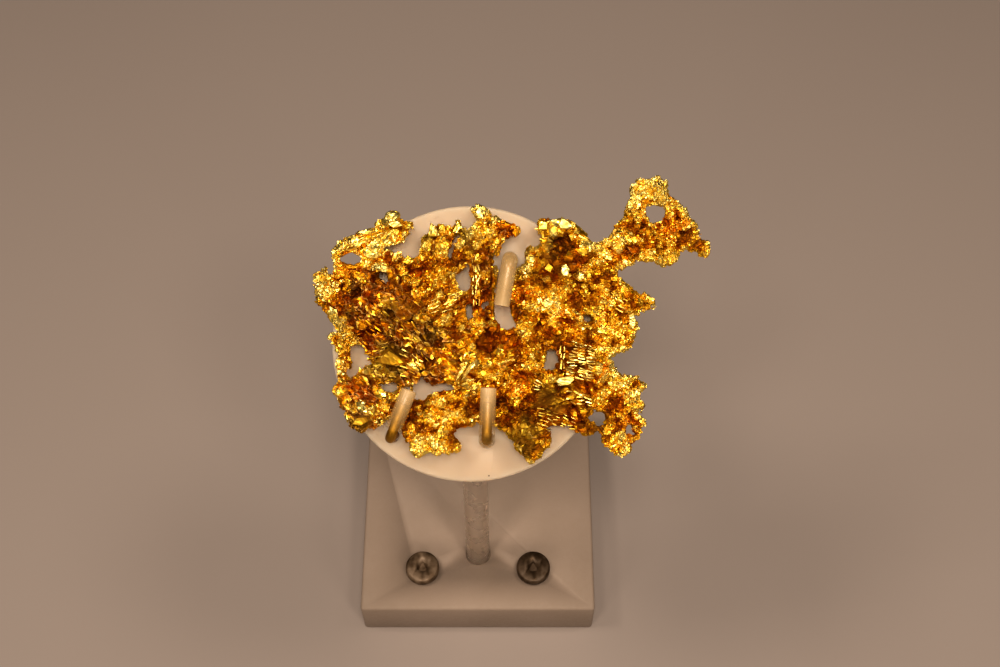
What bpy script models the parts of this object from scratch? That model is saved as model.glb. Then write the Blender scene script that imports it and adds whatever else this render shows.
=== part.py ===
"""A crystallised gold specimen, held before a round frosted disc by three sleeved wire hooks,
on a post that stands in a painted block. Metres, +Z up, front towards -Y, the origin at the
middle of the block's underside. Blender 4.5."""

import math

import bmesh
import bpy
from mathutils import Matrix, Vector, noise

MM = 0.001
GAP = 0.3 * MM

# The block and what stands in it.
BLOCK_SIDE = 65 * MM
BLOCK_HEIGHT = 16 * MM
POST_RADIUS = 3.2 * MM
POST_Y = -16 * MM
POST_SOCKET_DEPTH = 8 * MM
SCREW_X = 15.5 * MM
SCREW_Y = POST_Y - 5 * MM
SCREW_HEAD_RADIUS = 4.7 * MM
SCREW_HEAD_HEIGHT = 2.6 * MM
SCREW_SHANK_RADIUS = 2.0 * MM
SCREW_SHANK_LENGTH = 10 * MM
HEX_KEY_RADIUS = 1.7 * MM
HEX_KEY_DEPTH = 1.4 * MM

# The disc, tilted back so that its face looks up at the viewer.
DISC_RADIUS = 28.5 * MM
DISC_THICKNESS = 4.5 * MM
DISC_BEVEL = 0.45 * MM
DISC_TILT = math.radians(30)
DISC_HEIGHT = 136 * MM

# The hooks: a wire through the disc, bent over the gold, and a soft sleeve on the bent arm.
WIRE_RADIUS = 1.02 * MM
SLEEVE_RADIUS = 1.6 * MM
SLEEVE_WALL = SLEEVE_RADIUS - WIRE_RADIUS - GAP
SLEEVE_FOOT = 2.2 * MM
WIRE_HOLE_RADIUS = WIRE_RADIUS + GAP
ARM_HEIGHT = 9 * MM
ELBOW_RADIUS = 2 * MM
ELBOW_STEPS = 6
# Each hook: where its riser leaves the disc, where its arm ends, how far short of that end the
# wire stops, and whether the sleeve goes round the elbow. All (u, v) are millimetres on the face.
HOOKS = {
    "upper": ((8.2, 17.1), (6.5, 7.7), 0.4, True),
    "lower_left": ((-15.9, -18.9), (-12.0, -9.2), 2.8, False),
    "lower_right": ((3.5, -19.4), (3.9, -8.7), 2.8, True),
}

# The gold: how finely its skin is laid, how many faces are kept, and how rough it is.
GOLD_VOXEL = 0.72 * MM
GOLD_TRIANGLES = 5000
GOLD_ROUGHNESS = 0.42 * MM
GOLD_GRAIN = 1.9 * MM
GOLD_SWELL = 0.12 * MM
HOLLOW_FLOOR = 2.2
HOOK_CLEARANCE = 0.55 * MM
DISC_CLEARANCE = 0.5 * MM

# The face of the disc is the plane that the gold and the hooks are laid out on:
# u runs right, v runs up the disc and w runs out of it.
FACE = (
    Matrix.Translation((0, POST_Y, DISC_HEIGHT))
    @ Matrix.Rotation(DISC_TILT, 4, "X")
    @ Matrix.Translation((0, 0, DISC_THICKNESS / 2))
)


def clear_scene():
    for old in list(bpy.data.objects):
        bpy.data.objects.remove(old)
    object_collection = bpy.data.collections.new("gold_specimen")
    cutter_collection = bpy.data.collections.new("cutters")
    bpy.context.scene.collection.children.link(object_collection)
    bpy.context.scene.collection.children.link(cutter_collection)
    cutter_collection.hide_render = True
    return object_collection, cutter_collection


PARTS, CUTTERS = clear_scene()


def material(name, colour, roughness, metallic=0.0, alpha=1.0):
    made = bpy.data.materials.new(name)
    made.use_nodes = True
    shader = made.node_tree.nodes["Principled BSDF"]
    shader.inputs["Base Color"].default_value = (*colour, 1)
    shader.inputs["Roughness"].default_value = roughness
    shader.inputs["Metallic"].default_value = metallic
    shader.inputs["Alpha"].default_value = alpha
    return made


def part_from(name, mesh_builder, matter, place=None):
    """A part whose mesh is what mesh_builder leaves in an empty bmesh."""
    made = bmesh.new()
    mesh_builder(made)
    mesh = bpy.data.meshes.new(name)
    made.to_mesh(mesh)
    made.free()
    mesh.materials.append(matter)
    part = bpy.data.objects.new(name, mesh)
    part.matrix_world = place or Matrix()
    PARTS.objects.link(part)
    return part


def make_cutter(part):
    """Takes a part out of the object and makes it a tool for Booleans."""
    PARTS.objects.unlink(part)
    CUTTERS.objects.link(part)
    part.hide_render = True
    part.display_type = "WIRE"
    return part


def cut(part, cutter):
    boolean = part.modifiers.new(f"cut by {cutter.name}", "BOOLEAN")
    boolean.operation = "DIFFERENCE"
    boolean.solver = "EXACT"
    boolean.object = cutter


def bevel(part, width, segments=1):
    edges = part.modifiers.new("rounded edges", "BEVEL")
    edges.width = width
    edges.segments = segments
    edges.limit_method = "ANGLE"
    edges.angle_limit = math.radians(40)


def shade_smooth(part, sharp_angle=math.radians(35)):
    part.data.shade_smooth()
    for edge in part.data.edges:
        edge.use_edge_sharp = False
    part.data.set_sharp_from_angle(angle=sharp_angle)


def cylinder(radius, bottom, top, sides=32):
    """A mesh builder for an upright cylinder between two heights."""

    def build(made):
        bmesh.ops.create_cone(
            made,
            cap_ends=True,
            segments=sides,
            radius1=radius,
            radius2=radius,
            depth=top - bottom,
            matrix=Matrix.Translation((0, 0, (top + bottom) / 2)),
        )

    return build


def box(width, depth, bottom, top):
    """A mesh builder for an upright box between two heights."""

    def build(made):
        size = Matrix.Diagonal((width, depth, top - bottom, 1))
        place = Matrix.Translation((0, 0, (top + bottom) / 2))
        bmesh.ops.create_cube(made, size=1, matrix=place @ size)

    return build


# The stand.


def block(matter):
    body = part_from("block", box(BLOCK_SIDE, BLOCK_SIDE, 0, BLOCK_HEIGHT), matter)
    bevel(body, 0.8 * MM, segments=2)
    socket_floor = BLOCK_HEIGHT - POST_SOCKET_DEPTH - GAP
    socket = cylinder(POST_RADIUS + GAP, socket_floor, BLOCK_HEIGHT + 1 * MM)
    cut(body, make_cutter(part_from("post_socket", socket, matter, post_place())))
    shank_hole = cylinder(
        SCREW_SHANK_RADIUS + GAP,
        BLOCK_HEIGHT - SCREW_SHANK_LENGTH - GAP,
        BLOCK_HEIGHT + 1 * MM,
        sides=16,
    )
    for side in (-1, 1):
        hole = part_from(f"screw_hole{side}", shank_hole, matter, screw_place(side))
        cut(body, make_cutter(hole))
    return body


def post_place():
    return Matrix.Translation((0, POST_Y, 0))


def screw_place(side):
    return Matrix.Translation((side * SCREW_X, SCREW_Y, 0))


def post(matter):
    """A clear rod, let into the block, with its top cut on the slope of the disc's back."""
    foot = BLOCK_HEIGHT - POST_SOCKET_DEPTH
    rod = part_from("post", cylinder(POST_RADIUS, foot, DISC_HEIGHT), matter, post_place())
    above_back = box(60 * MM, 60 * MM, -DISC_THICKNESS - GAP, 20 * MM)
    cut(rod, make_cutter(part_from("disc_back", above_back, matter, FACE)))
    shade_smooth(rod)
    return rod


def screw(name, side, matter):
    """A low-headed screw with a hexagonal socket."""
    head_bottom = BLOCK_HEIGHT + GAP
    head_top = head_bottom + SCREW_HEAD_HEIGHT
    place = screw_place(side)
    head = part_from(name, cylinder(SCREW_HEAD_RADIUS, head_bottom, head_top), matter, place)
    bevel(head, 0.7 * MM, segments=2)
    shank_builder = cylinder(
        SCREW_SHANK_RADIUS,
        BLOCK_HEIGHT - SCREW_SHANK_LENGTH,
        head_bottom + 0.5 * MM,
        sides=16,
    )
    shank = make_cutter(part_from(f"{name}_shank", shank_builder, matter, place))
    union = head.modifiers.new("shank", "BOOLEAN")
    union.operation = "UNION"
    union.solver = "EXACT"
    union.object = shank
    key_builder = cylinder(HEX_KEY_RADIUS, head_top - HEX_KEY_DEPTH, head_top + 1 * MM, sides=6)
    cut(head, make_cutter(part_from(f"{name}_key", key_builder, matter, place)))
    shade_smooth(head)
    return head


def disc(matter):
    plate = part_from("disc", cylinder(DISC_RADIUS, -DISC_THICKNESS, 0, sides=80), matter, FACE)
    bevel(plate, DISC_BEVEL)
    for name, (riser, _, _, _) in HOOKS.items():
        place = FACE @ Matrix.Translation((riser[0] * MM, riser[1] * MM, 0))
        hole = cylinder(WIRE_HOLE_RADIUS, -DISC_THICKNESS - 1 * MM, 1 * MM, sides=16)
        cut(plate, make_cutter(part_from(f"wire_hole_{name}", hole, matter, place)))
    shade_smooth(plate)
    return plate


# The hooks.


def elbow_points(riser, arm_end):
    """The quarter bend from the riser to the arm, as points (u, v, w) in metres, and the way
    that the arm runs."""
    start = Vector((riser[0] * MM, riser[1] * MM, 0))
    along = Vector((arm_end[0] * MM, arm_end[1] * MM, 0)) - start
    along.normalize()
    points = []
    for step in range(ELBOW_STEPS + 1):
        angle = math.pi / 2 * step / ELBOW_STEPS
        out = ELBOW_RADIUS * (1 - math.cos(angle))
        rise = ARM_HEIGHT - ELBOW_RADIUS * (1 - math.sin(angle))
        points.append(start + along * out + Vector((0, 0, rise)))
    return points, along


def tube_along(name, points, radius, matter, capped):
    """A round tube through points on the disc's face, as a mesh object."""
    curve = bpy.data.curves.new(name, "CURVE")
    curve.dimensions = "3D"
    curve.bevel_depth = radius
    curve.bevel_resolution = 3
    curve.use_fill_caps = capped
    spline = curve.splines.new("POLY")
    spline.points.add(len(points) - 1)
    for target, point in zip(spline.points, points):
        target.co = (*point, 1)
    route = bpy.data.objects.new(f"{name}_route", curve)
    PARTS.objects.link(route)
    bpy.context.view_layer.update()
    mesh = bpy.data.meshes.new_from_object(route)
    bpy.data.objects.remove(route)
    welded = bmesh.new()
    welded.from_mesh(mesh)
    bmesh.ops.remove_doubles(welded, verts=welded.verts, dist=0.001 * MM)
    bmesh.ops.recalc_face_normals(welded, faces=welded.faces)
    welded.to_mesh(mesh)
    welded.free()
    mesh.materials.clear()
    mesh.materials.append(matter)
    tube = bpy.data.objects.new(name, mesh)
    tube.matrix_world = FACE
    PARTS.objects.link(tube)
    shade_smooth(tube)
    return tube


def hook_wire(name, riser, arm_end, wire_short, matter):
    bend, along = elbow_points(riser, arm_end)
    foot = Vector((riser[0] * MM, riser[1] * MM, -DISC_THICKNESS))
    end = Vector((arm_end[0] * MM, arm_end[1] * MM, ARM_HEIGHT)) - along * wire_short * MM
    return tube_along(f"wire_{name}", [foot, *bend, end], WIRE_RADIUS, matter, capped=True)


def hook_sleeve(name, riser, arm_end, round_elbow, matter):
    """A soft sleeve: an open tube with a wall that grows inwards."""
    bend, along = elbow_points(riser, arm_end)
    end = Vector((arm_end[0] * MM, arm_end[1] * MM, ARM_HEIGHT))
    if round_elbow:
        foot = Vector((riser[0] * MM, riser[1] * MM, SLEEVE_FOOT))
        points = [foot, *bend, end]
    else:
        points = [bend[-1], end]
    sleeve = tube_along(f"sleeve_{name}", points, SLEEVE_RADIUS, matter, capped=False)
    wall = sleeve.modifiers.new("wall", "SOLIDIFY")
    wall.thickness = SLEEVE_WALL
    wall.offset = -1
    wall.use_even_offset = True
    return sleeve


# The gold: plates with hand-drawn outlines, each between two heights over the disc, and knolls
# on them, grown together into one body. Outlines are (u, v) in millimetres and go clockwise.

ARCH_LOBE = [
    (-27.0, 15.0), (-28.2, 18.2), (-26.9, 20.8), (-24.6, 21.7), (-23.6, 22.7), (-21.3, 23.2),
    (-20.1, 23.5), (-18.5, 25.5), (-16.4, 26.7), (-14.0, 26.0), (-11.9, 24.7), (-12.2, 22.0),
    (-13.5, 20.4), (-14.4, 19.9), (-17.4, 19.3), (-17.2, 16.5), (-20.0, 14.2), (-23.8, 13.6),
]
ARCH_HOLE = [
    (-27.0, 16.8), (-25.2, 18.5), (-22.6, 18.2), (-21.4, 17.2), (-22.4, 15.9), (-24.8, 16.3),
]
LEFT_SPIKES = [
    (-32.1, 13.2), (-31.4, 14.7), (-29.8, 15.5), (-28.3, 13.9), (-27.3, 14.4), (-27.1, 16.0),
    (-22.0, 15.5), (-18.5, 12.0), (-19.0, 5.0), (-24.0, 1.0), (-26.6, 3.0), (-26.4, 4.1),
    (-27.9, 5.0), (-29.5, 6.5), (-30.6, 8.6), (-31.8, 9.4), (-31.5, 10.5), (-29.9, 11.5),
    (-31.3, 12.4),
]
LEFT_STRIP = [
    (-25.5, 4.5), (-27.2, 2.8), (-28.7, 1.4), (-28.2, 0.1), (-27.2, -1.0), (-27.0, -2.5),
    (-27.2, -4.0), (-27.4, -5.6), (-26.0, -7.6), (-23.6, -7.6), (-24.9, -6.3), (-25.0, -5.6),
    (-23.3, -4.1), (-23.5, -1.4), (-23.4, 0.2), (-21.0, 2.0), (-22.0, 4.5),
]
LEAF_MASS = [
    (-21.0, 15.5), (-17.4, 19.2), (-15.9, 18.8), (-14.3, 18.1), (-12.2, 17.2), (-9.9, 17.5),
    (-7.0, 17.0), (-4.9, 17.8), (-3.9, 17.4), (-2.2, 14.8), (-3.4, 13.3), (-2.6, 12.2),
    (-2.6, 11.2), (-0.3, 10.6), (0.3, 9.0), (-1.0, 7.4), (-0.8, 4.9), (0.5, 3.8), (2.0, 1.5),
    (2.5, -4.0), (1.0, -7.0), (-2.6, -7.0), (-4.0, -8.0), (-6.6, -8.0), (-8.2, -8.4),
    (-9.3, -5.8), (-9.9, -6.2), (-9.6, -7.0), (-11.0, -8.1), (-13.4, -8.2), (-14.3, -9.2),
    (-14.7, -6.9), (-16.5, -7.9), (-19.7, -8.2), (-22.0, -9.5), (-24.0, -8.0), (-22.4, -6.9),
    (-22.6, -6.0), (-21.4, -4.8), (-19.8, -3.7), (-20.2, -2.6), (-22.0, -2.1), (-21.0, -0.8),
    (-22.4, 0.4), (-24.5, 3.0), (-23.5, 9.0),
]
LEAF_MASS_HOLE = [(-18.5, 13.9), (-17.7, 15.3), (-15.8, 15.0), (-16.4, 12.6), (-17.6, 12.0)]
SECOND_LOBE = [
    (-10.4, 17.0), (-10.2, 18.8), (-9.6, 21.6), (-8.3, 22.9), (-7.3, 24.9), (-5.7, 24.3),
    (-4.2, 23.5), (-2.7, 25.5), (-1.6, 24.8), (-1.0, 22.9), (-2.6, 21.9), (-3.5, 20.6),
    (-4.7, 18.0), (-5.0, 15.0), (-9.0, 14.0),
]
TOP_LEAF = [
    (-1.9, 23.4), (-1.0, 22.8), (0.6, 22.9), (1.5, 19.0), (0.2, 16.8), (-0.7, 16.4),
    (-1.1, 15.4), (-2.6, 14.8), (-3.9, 16.8), (-3.1, 18.6), (-1.7, 21.2),
]
COLUMN = [
    (0.0, 22.6), (0.8, 23.9), (1.6, 24.8), (1.5, 25.7), (0.6, 27.4), (1.2, 28.3), (2.2, 28.1),
    (3.4, 27.0), (4.5, 26.6), (4.9, 25.7), (7.1, 25.0), (9.5, 24.2), (10.2, 22.9), (10.0, 21.6),
    (9.0, 22.6), (8.5, 21.4), (7.3, 20.8), (6.8, 21.4), (6.5, 19.4), (5.8, 18.2), (4.4, 18.4),
    (3.8, 16.8), (5.0, 16.6), (5.3, 15.0), (5.1, 13.4), (5.1, 5.2), (6.4, 3.5), (4.0, 0.0),
    (0.5, 2.0), (0.9, 4.6), (0.8, 7.8), (0.1, 11.0), (0.2, 12.8), (-0.3, 15.0), (-0.2, 16.6),
    (0.4, 19.0),
]
TOP_RIGHT = [
    (9.3, 14.2), (10.5, 14.4), (11.6, 15.3), (12.2, 17.0), (11.8, 18.6), (12.5, 19.7),
    (14.0, 19.3), (14.9, 20.8), (15.0, 22.9), (13.8, 23.0), (14.0, 25.3), (16.5, 25.1),
    (17.6, 24.5), (18.6, 25.5), (20.4, 24.5), (22.6, 23.0), (23.7, 22.2), (23.3, 20.1),
    (25.5, 20.5), (27.5, 18.5), (28.0, 15.0), (22.0, 11.0), (14.0, 10.0), (9.3, 11.0),
]
TAIL = [
    (23.5, 20.0), (25.5, 20.5), (28.2, 21.4), (29.4, 23.7), (31.0, 25.2), (31.3, 26.9),
    (32.4, 28.7), (33.4, 29.5), (33.3, 32.3), (35.2, 34.2), (35.9, 33.0), (36.6, 33.7),
    (38.4, 34.5), (39.7, 33.5), (40.8, 31.9), (40.6, 30.4), (42.1, 29.7), (43.0, 27.9),
    (44.3, 26.9), (45.6, 25.1), (45.3, 23.5), (47.3, 21.9), (48.6, 20.5), (48.6, 19.2),
    (47.6, 17.5), (46.3, 18.5), (44.0, 19.8), (42.5, 18.5), (41.9, 16.4), (40.9, 15.6),
    (39.5, 15.5), (38.6, 17.1), (35.8, 17.2), (32.8, 16.7), (31.3, 15.7), (28.0, 14.5),
    (24.0, 16.0),
]
TAIL_HOLE = [
    (35.9, 27.3), (36.3, 27.9), (39.5, 28.0), (39.6, 26.6), (38.2, 25.2), (36.9, 24.0),
    (36.4, 25.2),
]
GRAIN_MASS = [
    (4.0, 3.0), (5.6, 4.3), (7.2, 2.8), (8.2, 3.1), (9.5, 2.9), (8.4, 4.6), (8.1, 7.5),
    (8.8, 11.5), (9.3, 15.0), (13.5, 16.5), (22.0, 17.5), (28.0, 17.0), (31.3, 15.7),
    (29.7, 15.8), (30.4, 14.0), (30.6, 12.8), (32.4, 12.1), (33.9, 10.5), (36.0, 10.2),
    (37.6, 8.7), (37.1, 7.3), (34.8, 7.2), (33.4, 5.3), (34.4, 4.0), (33.2, 2.8), (33.4, 1.5),
    (33.4, -0.2), (31.0, -1.6), (28.8, -1.9), (28.5, -2.5), (29.2, -4.0), (30.2, -6.2),
    (26.0, -11.0), (17.0, -15.5), (7.2, -16.4), (6.8, -15.8), (5.9, -16.6), (4.5, -16.2),
    (1.8, -16.0), (0.2, -16.8), (-0.5, -17.4), (-1.6, -16.4), (-3.0, -16.5), (-3.0, -12.0),
    (-2.3, -9.2), (-2.5, -7.1), (-1.0, -5.0), (1.0, 0.0),
]
GRAIN_MASS_HOLE = [
    (14.8, -4.3), (15.6, -2.7), (15.9, -1.1), (17.1, -0.9), (18.4, -3.1), (17.5, -5.0),
    (16.6, -5.5), (15.8, -4.8),
]
LOWER_RIGHT = [
    (24.0, -5.0), (28.5, -5.0), (30.0, -6.3), (31.7, -6.5), (34.0, -6.7), (35.2, -8.0),
    (36.5, -9.6), (34.4, -10.3), (35.0, -12.7), (34.1, -14.2), (36.3, -15.3), (35.5, -16.2),
    (35.5, -17.4), (34.5, -19.2), (32.5, -20.0), (32.5, -22.1), (29.3, -22.9), (27.6, -20.6),
    (25.8, -19.8), (26.2, -18.7), (24.5, -18.7), (21.5, -18.0), (20.4, -16.6), (18.5, -16.4),
    (16.3, -17.2), (14.0, -16.0), (13.0, -12.0), (18.0, -8.0),
]
LOWER_RIGHT_HOLES = [
    [
        (24.7, -13.6), (25.8, -12.9), (27.1, -13.5), (27.8, -14.7), (27.2, -16.1),
        (26.2, -16.9), (24.6, -15.8), (23.6, -15.1),
    ],
    [(31.4, -16.5), (32.5, -16.1), (33.8, -17.3), (33.3, -18.5), (32.2, -19.0), (31.3, -17.7)],
]
LOWER_CENTRE = [
    (5.0, -13.0), (7.2, -16.4), (6.8, -17.2), (7.8, -18.6), (8.7, -20.1), (9.9, -20.6),
    (11.1, -22.2), (12.1, -23.7), (13.3, -24.1), (14.1, -23.2), (14.3, -21.5), (16.3, -20.7),
    (16.3, -18.7), (14.6, -17.8), (15.6, -16.8), (17.0, -13.0), (10.0, -11.0),
]
SPONGY_LOBE = [
    (-2.4, -8.9), (-4.7, -8.9), (-6.8, -9.4), (-8.3, -10.7), (-9.3, -11.2), (-10.5, -11.0),
    (-11.3, -10.5), (-12.8, -12.0), (-13.6, -15.0), (-13.8, -17.0), (-13.1, -18.4),
    (-11.9, -20.0), (-12.0, -21.3), (-10.8, -23.0), (-10.2, -22.3), (-8.2, -21.6),
    (-6.3, -22.4), (-3.3, -22.0), (-2.1, -21.6), (-2.4, -19.6), (-3.2, -19.0), (-3.3, -17.4),
    (-1.0, -16.0), (1.0, -12.0), (0.0, -8.0),
]
LEAFY_LOBE = [
    (-14.3, -9.8), (-15.5, -9.7), (-18.5, -8.9), (-20.0, -7.6), (-22.0, -7.2), (-25.7, -7.0),
    (-26.8, -8.2), (-27.9, -10.2), (-27.2, -10.9), (-25.6, -11.4), (-26.4, -12.6),
    (-24.9, -13.8), (-25.0, -14.6), (-23.7, -15.2), (-24.4, -16.9), (-22.4, -17.3),
    (-20.0, -17.2), (-18.4, -16.1), (-19.0, -14.6), (-17.4, -15.1), (-16.2, -15.2),
    (-13.6, -12.5), (-13.0, -10.4),
]

# Openings right through the gold, drawn like the outlines. They are cut last, so that the
# roughness of the skin can't close them.
OPENINGS = [
    [(-4.8, 17.9), (-4.4, 19.2), (-3.8, 20.2), (-2.9, 21.1), (-2.9, 22.4), (-1.9, 22.3),
     (-2.0, 20.8), (-2.7, 19.8), (-3.3, 18.6), (-3.9, 17.4)],
    [(-0.5, 17.0), (-0.2, 16.4), (-0.3, 15.2), (-0.4, 13.8), (-0.1, 12.2), (-0.4, 11.2),
     (-1.6, 11.5), (-2.5, 11.6), (-2.5, 12.8), (-3.1, 13.7), (-1.7, 14.8), (-1.1, 15.6)],
    [(-1.0, 7.5), (-0.3, 7.8), (0.4, 7.3), (0.6, 6.2), (0.4, 5.0), (-0.3, 4.8), (-0.6, 6.0)],
    [(2.5, 7.3), (2.7, 8.2), (3.3, 8.6), (4.0, 8.2), (3.5, 7.6), (3.0, 7.0)],
    [(5.0, 8.0), (8.2, 8.0), (8.2, 5.6), (9.5, 3.7), (8.6, 2.8), (7.2, 3.2), (6.0, 4.0),
     (5.1, 5.3)],
    [(-18.8, 14.0), (-17.9, 15.0), (-16.7, 15.4), (-16.6, 14.3), (-17.0, 13.2), (-17.7, 12.8),
     (-18.4, 13.2)],
    [(-13.6, 20.6), (-12.0, 19.4), (-13.2, 18.6), (-14.6, 18.6), (-16.0, 19.2), (-17.6, 19.0),
     (-17.6, 19.8), (-15.2, 20.1)],
    [(-24.0, -0.1), (-22.8, 0.1), (-22.3, -0.6), (-22.6, -1.7), (-22.2, -2.5), (-21.2, -2.8),
     (-20.7, -3.4), (-21.6, -4.3), (-22.6, -5.2), (-23.8, -5.9), (-23.4, -6.8), (-24.6, -6.8),
     (-25.8, -6.2), (-25.2, -5.4), (-24.2, -4.9), (-23.8, -3.9), (-24.1, -2.0)],
    [(-19.4, -8.3), (-17.4, -8.4), (-16.0, -7.7), (-15.1, -8.0), (-14.7, -9.2), (-14.2, -9.6),
     (-14.8, -10.0), (-16.2, -9.7), (-17.8, -9.3)],
    [(-11.8, -8.6), (-10.8, -7.8), (-10.1, -6.7), (-9.5, -6.0), (-9.0, -6.8), (-8.8, -7.9),
     (-8.2, -8.8), (-7.2, -8.9), (-6.4, -8.2), (-4.0, -8.2), (-2.8, -7.5), (-2.6, -8.2),
     (-3.0, -9.0), (-4.4, -9.3), (-5.6, -9.1), (-6.9, -9.6), (-7.8, -10.4), (-9.9, -11.3),
     (-11.4, -11.0)],
    [(15.0, -5.2), (15.5, -4.2), (15.5, -2.7), (15.9, -1.2), (17.1, -1.0), (18.2, -2.8),
     (17.7, -4.4), (16.7, -5.3), (16.0, -4.8), (15.3, -5.8)],
    [(35.9, 27.3), (36.3, 27.8), (39.5, 27.9), (39.5, 26.6), (38.2, 25.3), (36.9, 24.1),
     (36.5, 25.2), (36.6, 26.3)],
    [(36.0, 35.2), (37.0, 35.2), (36.8, 33.6), (36.4, 32.4), (36.1, 33.4)],
    [(23.0, 5.1), (23.4, 5.8), (24.3, 5.7), (25.1, 5.2), (24.4, 4.7), (23.6, 4.6)],
    [(26.0, -13.9), (26.8, -13.6), (27.5, -14.4), (27.6, -15.4), (27.0, -16.1), (26.4, -16.6),
     (25.6, -16.0), (24.5, -15.8), (24.4, -15.1), (25.4, -14.9)],
    [(32.2, -16.7), (32.9, -16.6), (33.4, -17.5), (34.0, -18.0), (33.6, -18.6), (32.9, -18.9),
     (32.2, -18.4)],
    [(24.9, -18.4), (26.2, -17.9), (26.9, -18.6), (26.7, -19.9), (25.4, -20.9), (24.3, -19.8)],
]

# Each plate: outline, holes, lowest and highest w in millimetres, and its slope along u and v.
PLATES = [
    (ARCH_LOBE, [ARCH_HOLE], 2.8, 5.4, (0.00, 0.06)),
    (LEFT_SPIKES, [], 1.6, 5.2, (0.08, 0.00)),
    (LEFT_STRIP, [], 1.6, 3.8, (0.00, 0.00)),
    (LEAF_MASS, [LEAF_MASS_HOLE], 1.4, 5.0, (0.00, 0.02)),
    (SECOND_LOBE, [], 1.8, 4.6, (0.00, -0.05)),
    (TOP_LEAF, [], 1.4, 3.6, (0.00, 0.00)),
    (COLUMN, [], 2.2, 5.6, (0.00, 0.03)),
    (TOP_RIGHT, [], 1.8, 5.6, (0.00, 0.06)),
    (TAIL, [TAIL_HOLE], 2.4, 5.4, (0.05, 0.03)),
    (GRAIN_MASS, [GRAIN_MASS_HOLE], 1.2, 4.6, (0.02, 0.00)),
    (LOWER_RIGHT, LOWER_RIGHT_HOLES, 1.8, 4.6, (0.03, 0.00)),
    (LOWER_CENTRE, [], 1.4, 4.8, (0.00, -0.02)),
    (SPONGY_LOBE, [], 1.4, 5.0, (0.00, -0.03)),
    (LEAFY_LOBE, [], 1.8, 4.6, (0.00, 0.00)),
]

# Each knoll: its middle (u, v, w) and half sizes in millimetres, and its turn in degrees.
KNOLLS = [
    ((-24.4, 19.6, 5.2), (3.0, 1.5, 1.3), 25),
    ((-16.6, 23.2, 5.5), (3.2, 1.8, 1.4), 30),
    ((-28.6, 11.2, 4.6), (2.2, 2.6, 1.7), 0),
    ((-22.4, 6.2, 5.4), (3.6, 1.7, 1.7), -30),
    ((-15.4, 3.4, 5.8), (4.4, 1.9, 1.9), -50),
    ((-15.8, -2.9, 5.4), (4.2, 1.6, 1.4), 12),
    ((-10.0, 4.4, 5.6), (3.4, 1.5, 1.9), 60),
    ((-9.2, -1.6, 5.6), (3.8, 1.3, 1.8), -35),
    ((-5.0, 8.4, 5.3), (2.4, 3.0, 1.5), 0),
    ((-1.0, -5.0, 5.4), (3.6, 0.9, 2.0), 52),
    ((-7.2, 21.0, 4.4), (1.6, 2.5, 1.2), 0),
    ((3.0, 23.8, 5.8), (2.4, 2.6, 1.5), 0),
    ((1.4, 13.0, 5.8), (0.9, 4.2, 1.2), 0),
    ((19.4, 14.8, 6.2), (1.3, 1.6, 1.5), 0),
    ((22.4, 13.7, 6.0), (1.0, 1.0, 1.3), 20),
    ((19.6, 24.0, 6.2), (2.2, 1.2, 1.0), -20),
    ((14.4, 23.8, 6.0), (0.9, 1.5, 1.2), 0),
    ((13.0, 8.0, 4.8), (3.4, 2.6, 1.5), 20),
    ((24.4, 5.0, 4.9), (4.2, 3.0, 1.4), -15),
    ((31.4, 8.2, 5.0), (3.2, 2.2, 1.2), 10),
    ((12.0, -2.6, 4.6), (3.0, 3.6, 1.6), 0),
    ((23.4, -4.2, 5.0), (4.0, 3.2, 1.2), -15),
    ((8.6, -9.6, 4.6), (3.6, 2.6, 1.5), 30),
    ((19.2, -10.0, 4.8), (3.8, 2.4, 1.3), -15),
    ((31.4, -11.2, 4.8), (2.6, 3.2, 1.2), 0),
    ((12.0, -19.6, 4.8), (2.6, 2.2, 1.3), 40),
    ((-8.0, -15.4, 5.0), (3.6, 4.4, 1.5), 15),
    ((-21.6, -12.2, 4.8), (3.8, 1.8, 1.4), 35),
    ((31.6, 21.4, 5.2), (2.8, 2.2, 1.2), 20),
    ((38.2, 30.4, 6.4), (2.2, 2.2, 1.0), 0),
    ((43.4, 23.6, 6.2), (2.4, 2.6, 1.1), 20),
]

# Each hollow in the top of the gold: its middle (u, v), its reach and its depth in millimetres.
HOLLOWS = [
    ((18.4, 19.2), 2.8, 2.4),
    ((-23.2, 10.6), 2.0, 2.0),
    ((-18.6, 13.0), 2.6, 1.8),
    ((4.2, 1.0), 2.2, 2.0),
    ((-5.0, 0.8), 1.6, 1.6),
    ((-9.4, -5.0), 1.5, 1.6),
    ((12.0, -14.8), 1.8, 1.8),
    ((-10.4, 14.8), 2.0, 1.6),
    ((-20.8, 1.2), 3.0, 1.6),
]


def plate_mesh(outline, holes, low, high, slope):
    """A flat outline between two heights, as a mesh, with its plane then sloped."""
    curve = bpy.data.curves.new("plate", "CURVE")
    curve.dimensions = "2D"
    curve.fill_mode = "BOTH"
    curve.extrude = (high - low) * MM / 2
    for ring in (outline, *holes):
        spline = curve.splines.new("POLY")
        spline.points.add(len(ring) - 1)
        for target, (u, v) in zip(spline.points, ring):
            target.co = (u * MM, v * MM, 0, 1)
        spline.use_cyclic_u = True
    sheet = bpy.data.objects.new("plate", curve)
    PARTS.objects.link(sheet)
    bpy.context.view_layer.update()
    mesh = bpy.data.meshes.new_from_object(sheet)
    bpy.data.objects.remove(sheet)
    middle_u = sum(u for u, _ in outline) / len(outline) * MM
    middle_v = sum(v for _, v in outline) / len(outline) * MM
    for vertex in mesh.vertices:
        lift = slope[0] * (vertex.co.x - middle_u) + slope[1] * (vertex.co.y - middle_v)
        vertex.co.z += (low + high) * MM / 2 + lift
    return mesh


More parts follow.
